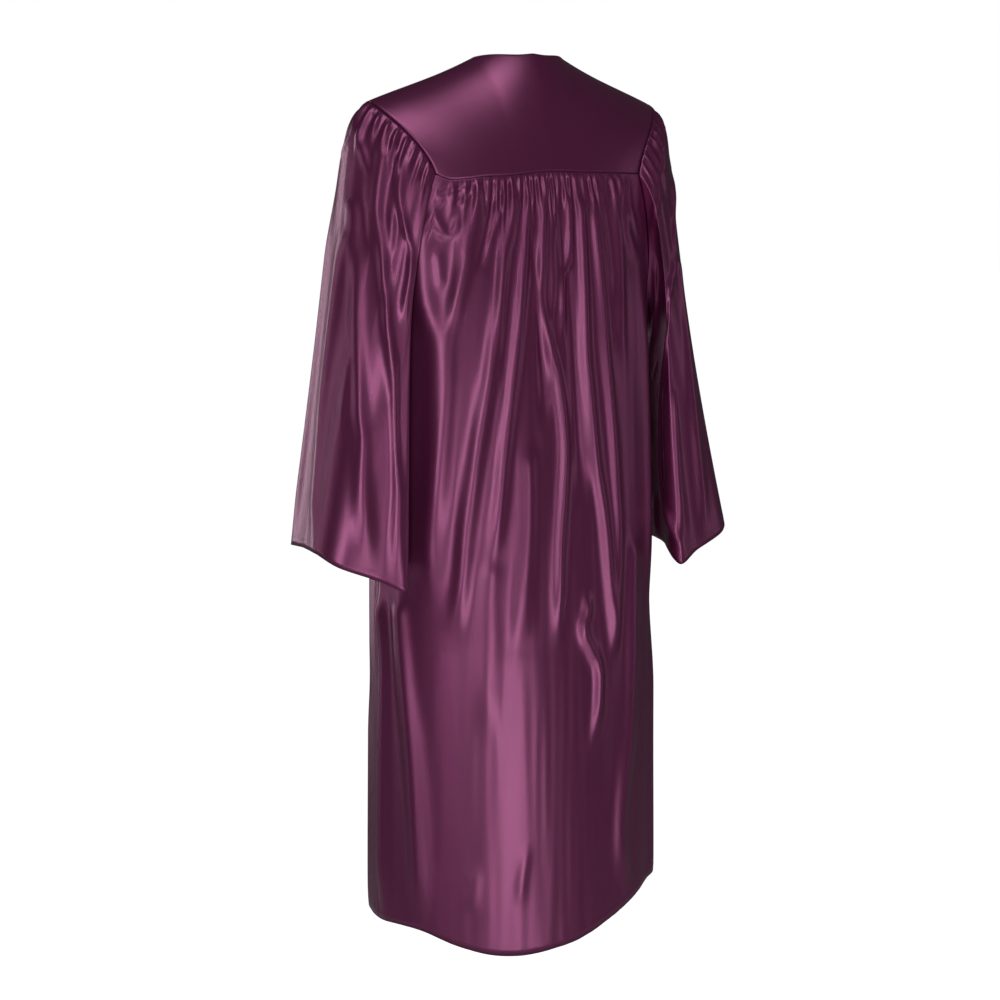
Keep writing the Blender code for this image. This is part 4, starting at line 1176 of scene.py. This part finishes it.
def plain(name, colour, metallic, roughness, grain, depth, stretch=(1, 1, 1)):
    """A moulded or metal finish: a fine grain in bump, roughness and shade, from Object coordinates."""
    made = bpy.data.materials.new(name)
    made.use_nodes = True
    tree = made.node_tree
    place = add_node(tree, "ShaderNodeTexCoord").outputs["Object"]
    scaled = add_node(tree, "ShaderNodeMapping", {"Vector": place, "Scale": stretch}).outputs[0]
    fine = noise(tree, scaled, grain, 4.0)
    worn = noise(tree, place, 260.0, 2.0)
    shade = add_node(tree, "ShaderNodeMapRange", {0: worn, 1: 0.35, 2: 0.7, 3: 0.78, 4: 1.1}).outputs[0]
    tinted = add_node(tree, "ShaderNodeHueSaturation", {"Value": shade, "Color": (*colour, 1)}).outputs[0]
    span = {0: fine, 1: 0.3, 2: 0.7, 3: roughness - 0.08, 4: roughness + 0.1}
    rough = add_node(tree, "ShaderNodeMapRange", span).outputs[0]
    raised = add_node(tree, "ShaderNodeBump", {"Strength": 0.6, "Distance": depth, "Height": fine}).outputs[0]
    finish(tree, {"Metallic": metallic, "Base Color": tinted, "Roughness": rough, "Normal": raised})
    return made


nylon = plain("nylon_teeth", (0.17, 0.034, 0.095), 0.0, 0.36, 3000.0, 0.00001)
nickel = plain("worn_nickel", (0.62, 0.60, 0.57), 1.0, 0.26, 1500.0, 0.000004, (1, 1, 0.4))
thread = plain("sewing_thread", (0.20, 0.036, 0.110), 0.0, 0.45, 5200.0, 0.00006, (1, 1, 3))

# %% Trees that repeat a shape along a line


def new_tree(name, **sizes):
    """A Geometry Nodes tree and its inputs: a line, the named sizes with their defaults, and a finish."""
    tree = bpy.data.node_groups.new(name, "GeometryNodeTree")
    face = tree.interface
    face.new_socket(name="Geometry", in_out="OUTPUT", socket_type="NodeSocketGeometry")
    face.new_socket(name="Line", in_out="INPUT", socket_type="NodeSocketGeometry")
    for label, value in sizes.items():
        kind = "NodeSocketInt" if isinstance(value, int) else "NodeSocketFloat"
        face.new_socket(name=label.replace("_", " "), in_out="INPUT", socket_type=kind).default_value = value
    face.new_socket(name="Finish", in_out="INPUT", socket_type="NodeSocketMaterial")
    return tree, add_node(tree, "NodeGroupInput").outputs


def points_along(tree, line, spacing):
    """A curve resampled at an even spacing, and the turn that aims an instance's Z axis along it."""
    curve = add_node(tree, "GeometryNodeMeshToCurve", {"Mesh": line}).outputs[0]
    even = add_node(tree, "GeometryNodeResampleCurve", {"Curve": curve, "Length": spacing}, mode="LENGTH").outputs[0]
    way = add_node(tree, "GeometryNodeInputTangent").outputs[0]
    turn = add_node(tree, "FunctionNodeAlignRotationToVector", {"Vector": way}, axis="Z").outputs[0]
    return even, turn


def beads_on(tree, places, segments, rings, turn, size, look):
    """Ends a tree: a stretched bead on every point, made real and given its material."""
    bead = add_node(tree, "GeometryNodeMeshUVSphere", {"Segments": segments, "Rings": rings, "Radius": 0.5}).outputs[0]
    placed = {"Points": places, "Instance": bead, "Rotation": turn, "Scale": size}
    many = add_node(tree, "GeometryNodeInstanceOnPoints", placed).outputs[0]
    real = add_node(tree, "GeometryNodeRealizeInstances", {0: many}).outputs[0]
    done = add_node(tree, "GeometryNodeSetMaterial", {"Geometry": real, "Material": look}).outputs[0]
    add_node(tree, "NodeGroupOutput", {0: done})
    return tree


def stitch_tree():
    """A row of stitches that differ a little in length."""
    tree, given = new_tree("row_of_stitches", Spacing=0.0042, Stitch_length=0.0032, Thread_width=0.00042, Seed=1)
    even, turn = points_along(tree, given["Line"], given["Spacing"])
    loose = add_node(tree, "FunctionNodeRandomValue", {2: 0.88, 3: 1.12, "Seed": given["Seed"]}).outputs[1]
    long = maths(tree, "MULTIPLY", given["Stitch length"], loose)
    size = vector(tree, given["Thread width"], given["Thread width"], long)
    return beads_on(tree, even, 6, 4, turn, size, given["Finish"])


def coil_tree():
    """Two rows of loops, each leaning a little, that meet in the middle of the line."""
    sizes = {"Pitch": 0.00127, "Loop_length": 0.0026, "Loop_width": 0.00085, "Offset": 0.0008, "Lean": 0.16}
    tree, given = new_tree("zip_coil_loops", **sizes)
    even, _ = points_along(tree, given["Line"], maths(tree, "MULTIPLY", given["Pitch"], 0.5))
    index = add_node(tree, "GeometryNodeInputIndex").outputs[0]
    side = maths(tree, "MULTIPLY_ADD", maths(tree, "MODULO", index, 2.0), 2.0, -1.0)  # -1 and 1 by turns
    shift = vector(tree, maths(tree, "MULTIPLY", side, given["Offset"]))
    moved = add_node(tree, "GeometryNodeSetPosition", {"Geometry": even, "Offset": shift}).outputs[0]
    turn = vector(tree, 0.0, maths(tree, "ADD", maths(tree, "MULTIPLY", side, given["Lean"]), math.pi / 2))
    size = vector(tree, given["Loop width"], given["Loop width"], given["Loop length"])
    return beads_on(tree, moved, 8, 5, turn, size, given["Finish"])


# %% From a line to a finished row


def repeat_along(name, line, tree, values):
    """Runs a tree on a line of points and keeps the result as a plain mesh."""
    mesh = bpy.data.meshes.new(name)
    mesh.from_pydata([tuple(p) for p in line], [(i, i + 1) for i in range(len(line) - 1)], [])
    guide = put(name + "_guide", mesh)
    modifier = guide.modifiers.new("repeat", "NODES")
    modifier.node_group = tree
    sockets = {s.name: s.identifier for s in tree.interface.items_tree if getattr(s, "in_out", "") == "INPUT"}
    for label, value in values.items():
        modifier[sockets[label]] = value
    bpy.context.view_layer.update()
    made = bpy.data.meshes.new_from_object(guide.evaluated_get(bpy.context.evaluated_depsgraph_get()))
    bpy.data.objects.remove(guide)
    made.polygons.foreach_set("use_smooth", np.ones(len(made.polygons), bool))
    print(name, len(made.polygons), "faces")
    return put(name, made)


SLIDER_DEEP = 0.0102  # the way down the zip that the slider covers
COIL_BEFORE = 0.00005  # the coil's middle stands this far before the cloth's
z, y = zip_line(ZIP_TOP_Z - SLIDER_DEEP, ZIP_FOOT_Z, 200)
coil_line = np.stack([0 * z, y - COIL_BEFORE, z], axis=-1)
stand_in(repeat_along("zip_teeth", coil_line, coil_tree(), {"Finish": nylon}), "zip_coil")

# %% [markdown]
# ## Slider and pull tab
#
# The slider is cast metal: two plates joined by a post between the teeth, with side walls that press the
# teeth together and a bridge that holds the tab. Each plate is drawn as an outline and given its
# thickness. The tab is the CAD's own, in a better finish, and it stays free to swing.

# %% Slider
PIVOT = Vector(frame["record"]["behaviour"]["joints"][0]["pos_m"])
TILT = Matrix.Rotation(math.radians(-6.053), 4, "X")  # the front leans out this much as it goes down
SLIDER_FRAME = Matrix.Translation(PIVOT) @ TILT @ Matrix.Translation((0, 0.0032, 0.0019))


def corner(mesh, x, y, z):
    """A bmesh corner, from millimetres."""
    return mesh.verts.new((x / 1000, y / 1000, z / 1000))


def add_plate(mesh, outline, low, high):
    """Adds a plate to a bmesh: an outline in x and z, in millimetres, from y low to y high."""
    front, rear = ([corner(mesh, x, y, z) for x, z in outline] for y in (low, high))
    mesh.faces.new(front)
    mesh.faces.new(rear[::-1])
    for i in range(len(outline)):
        j = (i + 1) % len(outline)
        mesh.faces.new((front[j], front[i], rear[i], rear[j]))


def mirrored(half):
    """A closed outline from its right half, listed from top to bottom."""
    return half + [(-x, z) for x, z in half[::-1] if x > 0]


def add_bridge(mesh):
    """Adds the arch that holds the tab. Its outline is in z and y, and it is 1.5 mm wide."""
    arch = [(3.9, -2.0), (3.9, -4.2), (3.3, -4.9), (2.2, -5.2), (-2.2, -5.2), (-3.3, -4.9), (-3.9, -4.2), (-3.9, -2.0)]
    under = [(-2.9, -2.0), (-2.9, -4.0), (-2.2, -4.3), (2.2, -4.3), (2.9, -4.0), (2.9, -2.0)]
    left, right = ([corner(mesh, x, y, z) for z, y in arch + under] for x in (-0.75, 0.75))
    for i in range(len(left)):
        j = (i + 1) % len(left)
        mesh.faces.new((left[i], left[j], right[j], right[i]))
    arch_sides = ((0, 1, 12, 13), (1, 2, 12), (2, 3, 11, 12), (3, 4, 10, 11), (4, 5, 9, 10), (5, 6, 9), (6, 7, 8, 9))
    for row in (left, right):
        for face in arch_sides:
            mesh.faces.new([row[i] for i in face])


def slider():
    """The slider's mesh: two crowned plates, the post between them, the side walls and the bridge."""
    mesh = bmesh.new()
    crown = [(0, 5.4), (0.9, 5.9), (2.4, 6.0), (3.8, 5.6), (4.5, 4.6), (4.6, 3.0), (4.2, 0.4), (3.9, -2.6)]
    crown += [(3.8, -5.2), (3.2, -5.9), (0, -6.0)]
    post = [(0, 5.6), (0.7, 5.2), (0.9, 4.4), (0.5, 3.7), (0, 3.5)]
    add_plate(mesh, mirrored(crown), -2.3, -1.3)
    add_plate(mesh, mirrored(crown), 2.4, 3.4)
    add_plate(mesh, mirrored(post), -1.6, 2.6)
    for side in (1, -1):
        wall = [(4.45 * side, 3.4), (4.1 * side, 0.4), (3.85 * side, -2.6), (3.75 * side, -5.4)]
        inner = [(x - 0.75 * side, z) for x, z in wall]
        add_plate(mesh, wall + inner[::-1], -1.6, 0.35)
    add_bridge(mesh)
    bmesh.ops.recalc_face_normals(mesh, faces=mesh.faces)
    made = bpy.data.meshes.new("slider")
    mesh.to_mesh(made)
    mesh.free()
    made.transform(SLIDER_FRAME)
    made.materials.append(nickel)
    made.polygons.foreach_set("use_smooth", np.ones(len(made.polygons), bool))
    return made


slider_piece = put("slider", slider())
rounded = slider_piece.modifiers.new("rounded", "BEVEL")
rounded.width, rounded.segments, rounded.limit_method = 0.00022, 3, "ANGLE"
rounded.harden_normals = True
stand_in(slider_piece, "zip_slider")

# %% Finish of the pull tab
tab = bpy.data.objects["zip_pull_tab"]
tab.data.materials.clear()
tab.data.materials.append(nickel)

# %% [markdown]
# ## Sewing
#
# The hems and the edges beside the zip are held by straight rows of machine stitches. A stitch is
# hardly thicker than the weave, but its row of small lights tells the eye that the edge is turned. The
# rows follow the cloth's own grid, so they rise and fall with every fold.

# %% Stitch lines
THREAD_OUT = 0.00012  # how far a stitch's middle stands out of the cloth
HEM_STITCH_UP = 0.011
CUFF_STITCH_UP = 0.012
ZIP_STITCH_IN = 0.0085


def line_from_foot(points, up, closed=False):
    """A line across a grid, at a distance up from its last row, just outside the cloth."""
    out = outward(points, closed) * (SHELL / 2 + THREAD_OUT)
    line = []
    for column in range(points.shape[1]):
        path = points[::-1, column]
        way = way_along(path)
        place = [np.interp(up, way, path[:, k]) for k in range(3)]
        line.append(np.array(place) + [np.interp(up, way, out[::-1, column, k]) for k in range(3)])
    if closed:
        line.append(line[0])
    return np.array(line)


def line_beside_zip(name):
    """A line down a front panel beside the zip: the grid is turned so that this edge is its foot."""
    line = line_from_foot(np.rot90(front_grids[name][0], 1 if name == "left" else -1), ZIP_STITCH_IN)
    return line[(line[:, 2] < ZIP_TOP_Z - 0.004) & (line[:, 2] > ZIP_END_Z - 0.02)]


STITCHES = stitch_tree()
rows = {  # piece: (line, seed)
    "hem_stitches_back": (line_from_foot(back_grid[0], HEM_STITCH_UP), 3),
    "zip_stitches_left": (line_beside_zip("left"), 4),
    "zip_stitches_right": (line_beside_zip("right"), 5),
}
for name in ("left", "right"):
    rows[f"hem_stitches_front_{name}"] = (line_from_foot(front_grids[name][0], HEM_STITCH_UP), 6)
    rows[f"hem_stitches_sleeve_{name}"] = (line_from_foot(sleeve_grids[name][0], CUFF_STITCH_UP, True), 7)
stitches = {}
for name, (line, seed) in rows.items():
    stitches[name] = repeat_along(name, line, STITCHES, {"Seed": seed, "Finish": thread})
    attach(stitches[name], "gown")
